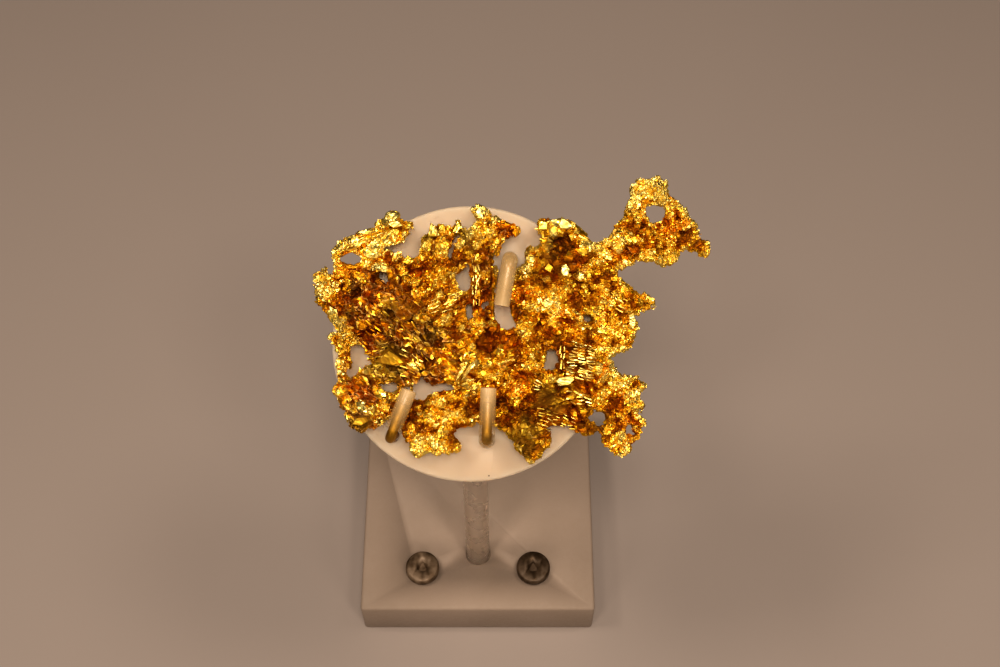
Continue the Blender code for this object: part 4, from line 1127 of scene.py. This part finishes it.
def grow(name, ground, tree, shapes, sizes, lean, crumple, seed, share=()):
    """A new plain mesh object, made by running a tree on a copy of its ground. The sizes, and
    how far and how finely it is crumpled, are in millimetres."""
    values = {"Shapes": shapes, "Lean": lean, "Material": gold, "Seed": seed, **dict(share)}
    values |= {"Smallest": sizes[0] * MM, "Largest": sizes[1] * MM}
    values |= {"Crumple": crumple[0] * MM, "Crumple size": crumple[1] * MM}
    grown = add_to_room(name, ground.data.copy())
    growth = grown.modifiers.new("growth", "NODES")
    growth.node_group = tree
    for title, value in values.items():
        growth[identifier(tree, title)] = value
    return with_modifiers_applied(grown)


SCATTER = scattering_tree()
RANK = ranking_tree()
print("trees:", SCATTER.name, len(SCATTER.nodes), "nodes;", RANK.name, len(RANK.nodes), "nodes")

# %% [markdown]
# Four kinds of growth follow: broad foils that lie almost flat, small leaves that stand at all
# angles, crystals, and fine grit. Each is one run of the same tree, with its own sizes and seed.

# %% Grow foils, leaves, crystals and grit
# Each growth: its shapes, the attribute that says where it grows, how many stand on a square
# millimetre, their least and greatest size, their lean, their crumple and their seed.
GROWTHS = {
    "gold_plates": (FOILS, "leaf_share", 0.16, (1.3, 2.4), 0.6, (0.9, 1.3), 21),
    "gold_leaves": (LEAVES, "leaf_share", 0.45, (0.5, 1.2), 0.8, (0.45, 0.9), 4),
    "gold_crystals": (CRYSTALS, "crystal_share", 1.1, (0.5, 1.3), 1.2, (0.25, 0.7), 9),
    "gold_grit": (GRIT, "grit_share", 3.5, (0.4, 0.85), 1.5, (0.2, 0.7), 13),
}
gold_pieces = [gold_skin]
for name, (shapes, share, crowd, *manner) in GROWTHS.items():
    where = {"Share": share, "Per square millimetre": crowd}
    gold_pieces.append(grow(name, gold_skin, SCATTER, shapes, *manner, where))
    print(name, "has", len(gold_pieces[-1].data.polygons), "faces")

# %% [markdown]
# ## Ridges, edges and blades in ranks
# In places crystals grew in step: parallel ridges like a washboard on the right of the gold,
# and on the left the thin edges of sheets and the blades of leaves that stand on end. Chance
# would never line them up, so each rank starts at a place, takes so many strides, and sets so
# many shapes in each row. A ray straight down finds the height of the skin under each one.

# %% List the ranks
# Each rank: first shape (u, v), shapes in a row and their step, rows and their step, the way
# they run in degrees, their length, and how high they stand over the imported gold. Millimetres.
RIDGE_RANKS = [
    ((20.9, -2.0), 3, (1.85, -0.35), 9, (-0.03, -0.58), -13, 1.9, 0.45),
    ((21.8, 0.2), 3, (1.6, -0.35), 4, (-0.15, -0.56), -18, 1.5, 0.3),
    ((13.8, -7.6), 1, (1.0, 0.0), 4, (0.08, -0.56), -20, 1.4, 0.5),
    ((20.4, -9.6), 3, (1.7, -0.35), 4, (0.15, -0.72), -14, 1.8, 0.1),
    ((14.6, -13.2), 5, (1.6, -0.45), 6, (-0.1, -0.75), -18, 1.4, -0.3),
    ((18.5, -1.4), 2, (0.7, 0.15), 3, (0.05, -1.4), 80, 1.5, 0.1),
    ((0.8, 16.8), 3, (0.6, 0.0), 6, (0.0, -1.6), 86, 1.5, 0.0),
    ((-3.4, 9.9), 2, (1.3, 0.5), 5, (-0.4, -0.8), 24, 1.2, 0.2),
    ((-7.2, 8.9), 2, (1.4, 0.6), 4, (-0.2, -0.9), 24, 1.2, 0.2),
    ((-13.0, -1.2), 3, (1.5, -1.0), 4, (-0.7, -0.75), -34, 2.0, 0.0),
    ((28.2, 10.8), 3, (1.6, -0.9), 4, (-0.4, -0.7), -30, 1.6, 0.0),
    ((-26.5, 17.8), 3, (2.0, 1.1), 3, (0.5, 0.9), 30, 1.4, -0.2),
    ((-22.0, 18.8), 3, (2.2, 1.2), 2, (-0.4, 0.9), 28, 1.5, -0.2),
]
# The thin bright edges of sheets that stand on end among the leaves.
EDGE_RANKS = [
    ((-22.0, 5.0), 3, (1.7, -0.9), 3, (0.6, -1.3), -50, 1.7, 0.1),
    ((-16.5, 6.0), 3, (1.6, -1.2), 3, (-0.9, -1.1), -35, 1.8, 0.1),
    ((-11.0, 3.5), 2, (1.6, -1.8), 3, (-1.2, -0.9), -60, 1.6, 0.1),
    ((-20.5, -1.8), 3, (1.9, 0.6), 2, (0.7, -1.2), 12, 1.7, 0.2),
    ((-15.5, -6.5), 3, (2.4, -0.1), 1, (0.0, 0.0), -8, 1.6, 0.2),
    ((-9.5, -2.0), 2, (1.2, -1.5), 3, (-1.0, -0.6), -72, 1.6, 0.1),
    ((-24.5, 1.5), 2, (1.9, 0.5), 1, (0.0, 0.0), 15, 1.6, 0.1),
]
# Blades are leaves in ranks, and the length here is their width.
BLADE_RANKS = [
    ((-17.5, -1.6), 4, (2.6, -1.0), 2, (0.4, -1.1), -20, 1.2, 0.0),
    ((-14.5, 5.0), 3, (1.8, -1.1), 3, (-1.1, -1.2), -38, 1.0, 0.0),
    ((-12.0, 1.4), 3, (1.7, -0.9), 2, (0.5, -1.4), -42, 1.1, 0.0),
    ((-19.5, -6.3), 4, (2.1, 0.2), 1, (0.0, 0.0), 10, 1.1, 0.0),
    ((-8.0, 4.8), 3, (1.2, -1.1), 2, (-0.8, -0.9), -48, 0.9, 0.0),
    ((-22.5, 8.6), 3, (1.2, -1.4), 2, (1.4, 0.6), -62, 0.9, 0.0),
    ((-17.0, 9.6), 3, (1.6, -0.3), 2, (0.2, -1.3), -12, 0.9, 0.0),
    ((-24.5, -10.8), 2, (1.7, -1.2), 3, (-0.6, -1.6), -50, 1.0, 0.0),
    ((-26.4, 0.5), 1, (0.0, 0.0), 4, (0.1, -1.6), 84, 0.7, 0.0),
    ((-25.2, 0.0), 1, (0.0, 0.0), 4, (0.1, -1.5), 80, 0.6, 0.0),
    ((1.4, 15.5), 1, (0.0, 0.0), 4, (0.0, -2.0), 88, 0.8, 0.0),
]
print(len(RIDGE_RANKS), "ranks of ridges,", len(EDGE_RANKS), "of edges,", len(BLADE_RANKS), "of blades")

# %% Set the shapes in their ranks
# How far a shape strays by chance and slides along its run, in millimetres, how far it turns, in
# degrees, and the shares by which its length varies.
RANK_STRAY = 0.08
RANK_SLIDE = 0.45
RANK_TURN = 7
RANK_SEED = 31
LENGTH_SPREAD = (0.65, 1.2)
RAY_START = 20 * MM
LOWEST_GOLD = 2 * MM


def height_over(u, v, surfaces):
    """The greatest height at (u, v) over a few surfaces, each with its own lift, or None."""
    heights = []
    for surface, lift in surfaces:
        hit, _, _, _ = surface.ray_cast(Vector((u * MM, v * MM, RAY_START)), Vector((0, 0, -1)))
        if hit is not None:
            heights.append(hit.z + lift)
    return max(heights, default=None)


def ranked_points(ranks):
    """One point for each shape, on the skin, carrying the way it runs and its size."""
    skin = surface_of(gold_skin)
    chance = random.Random(RANK_SEED)
    places, runs, sizes = [], [], []
    for first, row_count, row_step, rank_count, rank_step, run, length, lift in ranks:
        surfaces = [(skin, 0), (packed_gold, lift * MM)]
        for rank, place in [(rank, place) for rank in range(rank_count) for place in range(row_count)]:
            angle = math.radians(run + chance.gauss(0, RANK_TURN))
            slide = chance.uniform(-RANK_SLIDE, RANK_SLIDE)
            u = first[0] + place * row_step[0] + rank * rank_step[0] + slide * math.cos(angle)
            v = first[1] + place * row_step[1] + rank * rank_step[1] + slide * math.sin(angle)
            u, v = u + chance.gauss(0, RANK_STRAY), v + chance.gauss(0, RANK_STRAY)
            height = height_over(u, v, surfaces)
            if height is None or height < LOWEST_GOLD:
                continue
            places.append(Vector((u * MM, v * MM, height)))
            runs.append((math.cos(angle), math.sin(angle), 0))
            sizes.append(length * chance.uniform(*LENGTH_SPREAD))
    return places, runs, sizes


def grow_in_ranks(name, ranks, hollow, *manner):
    places, runs, sizes = ranked_points(ranks)
    mesh = bpy.data.meshes.new(f"{name}_points")
    mesh.from_pydata(places, [], [])
    write_attribute(mesh, "broad_normal", "FLOAT_VECTOR", [(0, 0, 1)] * len(places))
    write_attribute(mesh, "run", "FLOAT_VECTOR", runs)
    write_attribute(mesh, "growth_size", "FLOAT", sizes)
    write_attribute(mesh, "hollow", "FLOAT", [hollow] * len(places))
    ground = bpy.data.objects.new(f"{name}_points", mesh)
    grown = grow(name, ground, RANK, *manner)
    bpy.data.objects.remove(ground)
    return grown


# Each set: its ranks, its hollow value, which sets its painted shade, its shapes, their sizes, lean,
# crumple and seed.
RANKED = {
    "gold_ridges": (RIDGE_RANKS, 0.0, RIDGES, (0.9, 1.1), 0.22, (0.35, 0.7), 2),
    "gold_edges": (EDGE_RANKS, 0.5, RIDGES, (0.9, 1.2), 0.3, (0.5, 1.2), 3),
    "gold_blades": (BLADE_RANKS, 0.45, LEAVES, (0.8, 1.3), 0.5, (0.7, 1.6), 6),
}
for name, manner in RANKED.items():
    gold_pieces.append(grow_in_ranks(name, *manner))
    print(name, "has", len(gold_pieces[-1].data.polygons), "faces")

# %% [markdown]
# ## The crystals that a visitor would remember
# A few large faces stand out from the crust: flat bright plates, a cube, a rounded blob, and
# two long blades. Each is drawn as an outline between two heights over the skin.

# %% Set the large faces
GROUND_UNKNOWN = 4 * MM
# The rings of a large face: each one's share of the outline, and its height over the ground or,
# for the upper two, under the crystal's own height.
FOOT_RING = (1.0, -0.6)
UPPER_RINGS = ((0.94, 0.12), (0.80, 0))


def large_face(made, surfaces, outline, height, lean):
    """One crystal: its outline at the skin, and again a little smaller above it."""
    middle = sum((Vector(point) for point in outline), Vector((0, 0))) / len(outline)
    ground = height_over(middle.x, middle.y, surfaces) or GROUND_UNKNOWN
    for share, lift in (FOOT_RING, *[(share, height - under) for share, under in UPPER_RINGS]):
        for point in outline:
            off = (Vector(point) - middle) * share
            tip = lift + (off.dot(Vector(lean)) if lift > 0 else 0)
            made.verts.new((*((middle + off) * MM), ground + tip * MM))


def set_large_faces():
    surfaces = [(surface_of(gold_skin), -0.3 * MM), (packed_gold, 0)]
    merged = bmesh.new()
    for outline, height, lean, hollow in LARGE_FACES:
        made = bmesh.new()
        layer = made.verts.layers.float.new("hollow")
        large_face(made, surfaces, outline, height, lean)
        for corner in made.verts:
            corner[layer] = hollow
        tight_round(made)
        mesh = mesh_of("large_face", made)
        merged.from_mesh(mesh)
        bpy.data.meshes.remove(mesh)
    return add_to_room("gold_faces", mesh_of("gold_faces", merged))


gold_pieces.append(set_large_faces())
print("large faces:", len(LARGE_FACES))

# %% [markdown]
# ## Keep the growth in its place
# Leaves must not close the openings or stray past the outline. Each point that stands off the
# packed gold is drawn back by a curve that never passes a given reach: long on the front, short
# at the sides. Then points are moved off the hooks and the disc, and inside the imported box.
# Cutting the growth off there would be simpler, but it would leave cut edges.

# %% Draw the growth in
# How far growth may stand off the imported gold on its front, and what share of that it may
# stand off at the sides and at an opening.
FRONT_REACH = 1.3 * MM
SIDE_REACH = 0.50
OPENING_REACH = 0.08
# What stands off is painted lighter, as painted light on the raised growth: how its hollow value
# shifts, and how it falls with each millimetre.
STANDING_SHIFT = 0.05
STANDING_SHARE = 0.35
# The room kept to the hooks and the disc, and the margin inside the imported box.
HOOK_ROOM = 0.25 * MM
DISC_ROOM = 0.4 * MM
BOX_MARGIN = 0.02 * MM
# Keeps a division by a distance from being one by 0.
LEAST_DISTANCE = 1e-9
# A sheet looks smooth but for the edges that turn more sharply than this, in degrees.
SHEET_CREASE = 60
# The hooks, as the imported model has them.
SLEEVE_RADIUS = 1.6 * MM
WIRE_RADIUS = 1.02 * MM
ARM_HEIGHT = 9 * MM
ELBOW_RADIUS = 2 * MM
# Each hook: where its riser leaves the disc, where its arm ends, how far short of that end the
# wire stops, whether the sleeve goes round the elbow, and how clear it is over the wire. All
# (u, v) are millimetres on the face.
HOOKS = {
    "upper": ((8.2, 17.1), (6.5, 7.7), 0.4, True, 0.3),
    "lower_left": ((-15.9, -18.9), (-12.0, -9.2), 2.8, False, 1.0),
    "lower_right": ((3.5, -19.4), (3.9, -8.7), 2.8, True, 1.0),
}


def on_face(place, height):
    """A place (u, v) in millimetres as a point over the disc's face, in metres."""
    return Vector((place[0] * MM, place[1] * MM, height))


def hook_lines():
    lines = []
    for riser, arm_end, _, _, _ in HOOKS.values():
        elbow = on_face(riser, ARM_HEIGHT)
        lines.append((on_face(riser, 0), elbow))
        lines.append((elbow, on_face(arm_end, ARM_HEIGHT)))
    return lines


def drawn_in(piece):
    """A piece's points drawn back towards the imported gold, and how far out of it each stands."""
    points = point_table(piece.data)
    standing = np.zeros(len(points))
    open_air = near_openings(points)
    for row, point in enumerate(points):
        place = Vector(point)
        nearest, outward, _, away = packed_gold.find_nearest(place)
        if (place - nearest).dot(outward) <= 0:
            standing[row] = -away
            continue
        side_reach = SIDE_REACH - (SIDE_REACH - OPENING_REACH) * open_air[row]
        room = FRONT_REACH * (side_reach + (1 - side_reach) * max(0.0, outward.z))
        standing[row] = room * math.tanh(away / room)
        points[row] = nearest + (place - nearest).normalized() * standing[row]
    return points, standing / MM


def describe_gold(mesh, points, standing):
    """What the gold material reads at each point: hollow, tone and the place of the grain."""
    habits = [HABITS[PATCHES[row][0]] for row in habit_at(points)]
    turn = np.radians([habit["runs"] for habit in habits])
    stretch = np.array([habit["stretch"] for habit in habits])
    coarse = np.array([habit["grain"] for habit in habits])
    along = (points[:, 0] * np.cos(turn) + points[:, 1] * np.sin(turn)) / stretch
    across = points[:, 1] * np.cos(turn) - points[:, 0] * np.sin(turn)
    place = np.stack([along, across, points[:, 2]], axis=1) / coarse[:, None]
    write_attribute(mesh, "grain_place", "FLOAT_VECTOR", place)
    tone = depth_in(ORANGE_BOUNCE_PATCHES, points) - depth_in(OLIVE_REFLECTION_PATCHES, points)
    write_attribute(mesh, "tone", "FLOAT", tone)
    hollow = np.zeros(len(points), np.float32)
    mesh.attributes["hollow"].data.foreach_get("value", hollow)
    # Growth that stands off the imported gold is painted lighter, painted light on what stands out.
    lifted = np.clip(hollow + STANDING_SHIFT - STANDING_SHARE * standing, LEAST_HOLLOW, 1)
    mesh.attributes["hollow"].data.foreach_set("value", lifted.astype(np.float32))


def off_the_hooks(points):
    """Moves points out of a round corridor along each hook, and off the disc."""
    points[:, 2] = np.maximum(points[:, 2], DISC_ROOM)
    reach = SLEEVE_RADIUS + HOOK_ROOM
    for start, end in hook_lines():
        start, along = np.array(start), np.array(end - start)
        share = np.clip((points - start) @ along / (along @ along), 0, 1)
        away = points - (start + share[:, None] * along)
        distance = np.maximum(np.linalg.norm(away, axis=1), LEAST_DISTANCE)
        push = np.maximum(0, reach - distance) / distance
        points += away * push[:, None]
    return points


def inside_the_box(piece):
    """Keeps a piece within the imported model's box."""
    low, high = np.array(cad_box[0]) + BOX_MARGIN, np.array(cad_box[1]) - BOX_MARGIN
    set_points(piece.data, np.clip(point_table(piece.data), low, high))


for piece in gold_pieces:
    points, standing = drawn_in(piece)
    points = off_the_hooks(points)
    describe_gold(piece.data, points, standing)
    set_points(piece.data, points)
    piece.data.shade_flat()
    piece.data.transform(FACE)
    inside_the_box(piece)
    finished(piece, gold, None)
    if piece.name in ("gold_plates", "gold_leaves", "gold_blades"):
        smoothed(piece.data, SHEET_CREASE)
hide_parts("gold")
print(len(gold_pieces), "pieces of gold,", sum(len(p.data.polygons) for p in gold_pieces), "faces")

# %% [markdown]
# ## Wires and sleeves
# Each hook is a brass wire bent once, in a soft clear sleeve. A curve with a bevel could make
# the wire, but not a sleeve with a wall and rounded ends. So both are round tubes swept along
# the same route: up from the disc, round a quarter bend, and along the arm. A tube is a list of
# stations, each a middle, the way the route runs there, and a radius.

# %% Sweep a tube along a route
TUBE_SIDES = 32
TUBE_CREASE = 50
BEND_STEPS = 14
DISC_THICKNESS = 4.5 * MM
SLEEVE_FOOT = 2.2 * MM
WIRE_GAP = 0.3 * MM
# The shape of an end: how far back from it, and how much narrower than the tube.
WIRE_END = [(0.0, 0.30), (0.06, 0.14), (0.2, 0.03), (0.4, 0.0)]
SLEEVE_END = [(0.0, 0.20), (0.0, 0.12), (0.05, 0.04), (0.14, 0.0)]
# How far past the wire's tip, in millimetres, a sleeve has turned wholly cloudy.
CLEAR_PAST_WIRE = 0.5


def hook_route(riser, arm_end, foot_height, short, bare_elbow=False):
    """Middles and directions along a hook, and the direction square to both its legs."""
    start = on_face(riser, 0)
    end = on_face(arm_end, ARM_HEIGHT)
    along = (on_face(arm_end, 0) - start).normalized()
    up = Vector((0, 0, 1))
    route = [] if bare_elbow else [(on_face(riser, foot_height), up)]
    for count in range(BEND_STEPS + 1):
        angle = math.pi / 2 * count / BEND_STEPS
        out = ELBOW_RADIUS * (1 - math.cos(angle))
        rise = ARM_HEIGHT - ELBOW_RADIUS * (1 - math.sin(angle))
        direction = up * math.cos(angle) + along * math.sin(angle)
        if count == BEND_STEPS or not bare_elbow:
            route.append((start + along * out + up * rise, direction))
    route.append((end - along * short * MM, along))
    return route, up.cross(along)


def with_ends(route, radius, shape):
    """The route's stations at a radius, with the shape of an end put on at both ends."""
    (first, start_way), (last, end_way) = route[0], route[-1]
    head = [(first + start_way * back * MM, start_way, radius - narrow * MM) for back, narrow in shape]
    tail = [(last - end_way * back * MM, end_way, radius - narrow * MM) for back, narrow in shape]
    middle = [(place, way, radius) for place, way in route[1:-1]]
    return head + middle + tail[::-1]


def angles_round(count):
    """The angles of a ring's corners."""
    return [2 * math.pi * corner / count for corner in range(count)]


def surface_through(name, rings, joined=False):
    """A closed surface through rings of places. A joined one meets its own start."""
    made = bmesh.new()
    rings = [[made.verts.new(place) for place in ring] for ring in rings]
    for ring, after in zip(rings, rings[1:] + rings[: int(joined)]):
        for corner in range(len(ring)):
            beside = (corner + 1) % len(ring)
            made.faces.new((ring[corner], ring[beside], after[beside], after[corner]))
    if not joined:
        made.faces.new(rings[0])
        made.faces.new(rings[-1])
    bmesh.ops.recalc_face_normals(made, faces=made.faces)
    return mesh_of(name, made)


def swept_tube(name, stations, across, joined):
    rings = []
    for middle, way, radius in stations:
        side = across.cross(way)
        angles = angles_round(TUBE_SIDES)
        spokes = [side * math.cos(angle) + across * math.sin(angle) for angle in angles]
        rings.append([middle + spoke * radius for spoke in spokes])
    mesh = surface_through(name, rings, joined)
    mesh.transform(FACE)
    return add_to_room(name, smoothed(mesh, TUBE_CREASE))


def wire_piece(name, riser, arm_end, short):
    route, across = hook_route(riser, arm_end, -DISC_THICKNESS, short)
    return swept_tube(name, with_ends(route, WIRE_RADIUS, WIRE_END), across, joined=False)


def sleeve_piece(name, riser, arm_end, short, round_elbow, clear):
    """A soft tube with a wall: its outside, and back along its inside. Its clear attribute
    tells how well the wire shows through it, and is 0 at the empty end."""
    route, across = hook_route(riser, arm_end, SLEEVE_FOOT, 0, bare_elbow=not round_elbow)
    outside = with_ends(route, SLEEVE_RADIUS, SLEEVE_END)
    inside = [(place, way, WIRE_RADIUS + WIRE_GAP) for place, way in route]
    tube = swept_tube(name, outside + inside[::-1], across, joined=True)
    end, way = route[-1]
    back = (np.array(FACE @ end) - point_table(tube.data)) @ np.array(FACE.to_3x3() @ way)
    past = back / MM - short + CLEAR_PAST_WIRE
    write_attribute(tube.data, "clear", "FLOAT", clear * np.clip(past, 0, 1))
    return tube


print("a tube has", TUBE_SIDES, "sides and", BEND_STEPS, "steps round its bend")

# %% [markdown]
# The vinyl is see-through but cloudy, so its alpha lets the wire show as a dark core. It hides
# more at the empty end, and more where the eye meets its wall edge on. The wire is old brass,
# drawn and handled.

# %% Make the wire and vinyl materials
WIRE_SHADES = ((0.46, 0.25, 0.030), (0.30, 0.155, 0.014))
VINYL_SHADES = ((0.78, 0.60, 0.34), (0.70, 0.52, 0.28))
VINYL_OVER_WIRE = (0.62, 0.42, 0.15)
VINYL_HIDING = {"to_min": 0.5, "to_max": 0.04}
VINYL_WALL = {"from_min": 0.25, "to_max": 0.7}


def wire_material():
    made, tree, shader = new_material("dark_brass_wire")
    feed(tree, shader, two_shades(tree, 1.6, WIRE_SHADES, (0.25, 0.02, 0.3), (0.46, 0.60)))
    feed(tree, shader, {"Metallic": 1})
    return made


def vinyl_material():
    made, tree, shader = new_material("clear_vinyl")
    surface = two_shades(tree, 3, VINYL_SHADES, (0.4, 0.01, 0.2), (0.24, 0.36))
    clear = step(tree, "ShaderNodeAttribute", attribute_name="clear").outputs["Fac"]
    side_on = step(tree, "ShaderNodeLayerWeight", {"Blend": 0.3}).outputs["Facing"]
    hiding = mapped(tree, clear, **VINYL_HIDING)
    alpha = maths(tree, "ADD", hiding, mapped(tree, side_on, **VINYL_WALL))
    colour = mixed(tree, clear, surface["Base Color"], VINYL_OVER_WIRE)
    feed(tree, shader, {"Base Color": colour, "Alpha": alpha, "Roughness": surface["Roughness"]})
    feed(tree, shader, {"Coat Weight": 0.25, "Coat Roughness": 0.15})
    return made


brass = wire_material()
vinyl = vinyl_material()
for hook, (riser, arm_end, short, round_elbow, clear) in HOOKS.items():
    wire = wire_piece(f"{hook}_wire", riser, arm_end, short)
    finished(wire, brass, f"wire_{hook}")
    sleeve = sleeve_piece(f"{hook}_sleeve", riser, arm_end, short, round_elbow, clear)
    finished(sleeve, vinyl, f"sleeve_{hook}")
    print(hook, "hook:", len(wire.data.polygons), "and", len(sleeve.data.polygons), "faces")

# %% [markdown]
# ## The frosted disc
# Light goes into frosted acrylic, wanders about inside and comes out a few millimetres away.
# That is why the gold casts hardly any shadow on it. Subsurface scattering does the same here.
# One tiny dark mark near the lower rim is part of its wear.

# %% Dress the disc
DISC_SHADES = ((0.63, 0.525, 0.41), (0.59, 0.49, 0.38))
DISC_MARK = (3.9, -27.2)
DISC_MARK_RADIUS = 0.16 * MM
MARK_COLOUR = (0.08, 0.05, 0.03)
FROST_DEPTH = 6 * MM
FROST_REACH = (1.0, 0.85, 0.7)
PACKED_CREASE = 35


def mark_mask(tree, place, radius):
    """A mask that is 1 within a radius of a place in the room."""
    where = {0: step(tree, "ShaderNodeTexCoord").outputs["Object"], 1: tuple(place)}
    away = step(tree, "ShaderNodeVectorMath", where, operation="DISTANCE").outputs["Value"]
    return maths(tree, "LESS_THAN", away, radius)


def disc_material():
    made, tree, shader = new_material("frosted_acrylic")
    surface = two_shades(tree, 14, DISC_SHADES, (0.3, 0.006, 0.25), (0.50, 0.62))
    mark = mark_mask(tree, FACE @ on_face(DISC_MARK, 0), DISC_MARK_RADIUS)
    surface["Base Color"] = mixed(tree, mark, surface["Base Color"], MARK_COLOUR)
    feed(tree, shader, surface)
    feed(tree, shader, {"Subsurface Weight": 1, "Subsurface Scale": FROST_DEPTH})
    feed(tree, shader, {"Subsurface Radius": FROST_REACH})
    return made


def smooth_copy(node, name, matter):
    """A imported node's joined copy with smooth curves and crisp edges, as a finished piece."""
    piece = welded_copy(node, name)
    smoothed(piece.data, PACKED_CREASE)
    return finished(piece, matter, node)


disc = smooth_copy("disc", "frosted_disc", disc_material())
print("disc:", len(disc.data.polygons), "faces")

# %% [markdown]
# ## The post, the block and its screws
# The post is a clear rod with its top cut on the slope of the disc's back, so its rings are
# square at the foot and slanted at the top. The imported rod's few sides would show in clear
# plastic, so it is made again with more. The block is painted wood, and two low screws with
# hexagonal sockets sit in it. The left screw is dustier than the right one.

# %% Dress the post
POST_SIDES = 64
POST_CHAMFER = 0.25 * MM
POST_GAP = 0.3 * MM
# The post's rings: chamfers in from its side, whether it is at the top, and chamfers of lift.
POST_RINGS = ((1, 0, 0), (0, 0, 1), (0, 1, -1), (1, 1, 0))
POST_SHADES = ((0.90, 0.80, 0.70), (0.84, 0.73, 0.63))


def back_of_disc(x, y):
    """The height of the plane just under the disc's back, over a place on the floor."""
    on_plane = FACE @ Vector((0, 0, -DISC_THICKNESS - POST_GAP))
    fall = FACE_NORMAL.x * (x - on_plane.x) + FACE_NORMAL.y * (y - on_plane.y)
    return on_plane.z - fall / FACE_NORMAL.z


def post_piece():
    low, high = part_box("post")
    middle = (low + high) / 2
    rings = []
    for inset, top, lift in POST_RINGS:
        radius = (high.x - low.x) / 2 - inset * POST_CHAMFER
        ring = []
        for angle in angles_round(POST_SIDES):
            x, y = middle.x + radius * math.cos(angle), middle.y + radius * math.sin(angle)
            height = back_of_disc(x, y) if top else low.z
            ring.append((x, y, height + lift * POST_CHAMFER))
        rings.append(ring)
    mesh = surface_through("clear_post", rings)
    return add_to_room("clear_post", smoothed(mesh, PACKED_CREASE))


def post_material():
    made, tree, shader = new_material("clear_acrylic")
    colour = mixed(tree, cloudy_mask(tree, 8 * MM), *POST_SHADES)
    feed(tree, shader, {"Base Color": colour, "Roughness": cloudy_mask(tree, 9 * MM, 0.22, 0.34)})
    feed(tree, shader, {"Transmission Weight": 0.82, "IOR": 1.49})
    return made


finished(post_piece(), post_material(), "post")
print("post:", POST_SIDES, "sides")

# %% Dress the block and the screws
PAINT_SHADES = ((0.335, 0.275, 0.235), (0.30, 0.245, 0.205))
DARK_SHADES = ((0.045, 0.028, 0.014), (0.075, 0.05, 0.03))
DUSTY_SHADES = ((0.09, 0.06, 0.035), (0.17, 0.125, 0.085))
DUST_SIZE = 2.5
DUST_OVER_METAL = {"to_min": 0.7, "to_max": 0.2}


def paint_material():
    made, tree, shader = new_material("taupe_paint")
    feed(tree, shader, two_shades(tree, 22, PAINT_SHADES, (0.8, 0.02, 0.25), (0.58, 0.74)))
    return made


def screw_material(name, shades):
    """Dark metal under dust that gathers in patches."""
    made, tree, shader = new_material(name)
    feed(tree, shader, two_shades(tree, DUST_SIZE, shades, (0.35, 0.01, 0.3), (0.36, 0.55)))
    dust = cloudy_mask(tree, DUST_SIZE * MM)
    feed(tree, shader, {"Metallic": mapped(tree, dust, **DUST_OVER_METAL)})
    return made


dark_screw = screw_material("black_screw", DARK_SHADES)
dusty_screw = screw_material("dusty_screw", DUSTY_SHADES)
smooth_copy("block", "painted_block", paint_material())
smooth_copy("screw_left", "left_screw", dusty_screw)
smooth_copy("screw_right", "right_screw", dark_screw)
print("block and screws dressed")

# %% Measure and finish
dressed_box = [list(corner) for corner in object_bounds()]
for label, (low, high) in (("packed", cad_box), ("dressed", dressed_box)):
    print(label, [round((b - a) / MM, 2) for a, b in zip(low, high)], "mm")
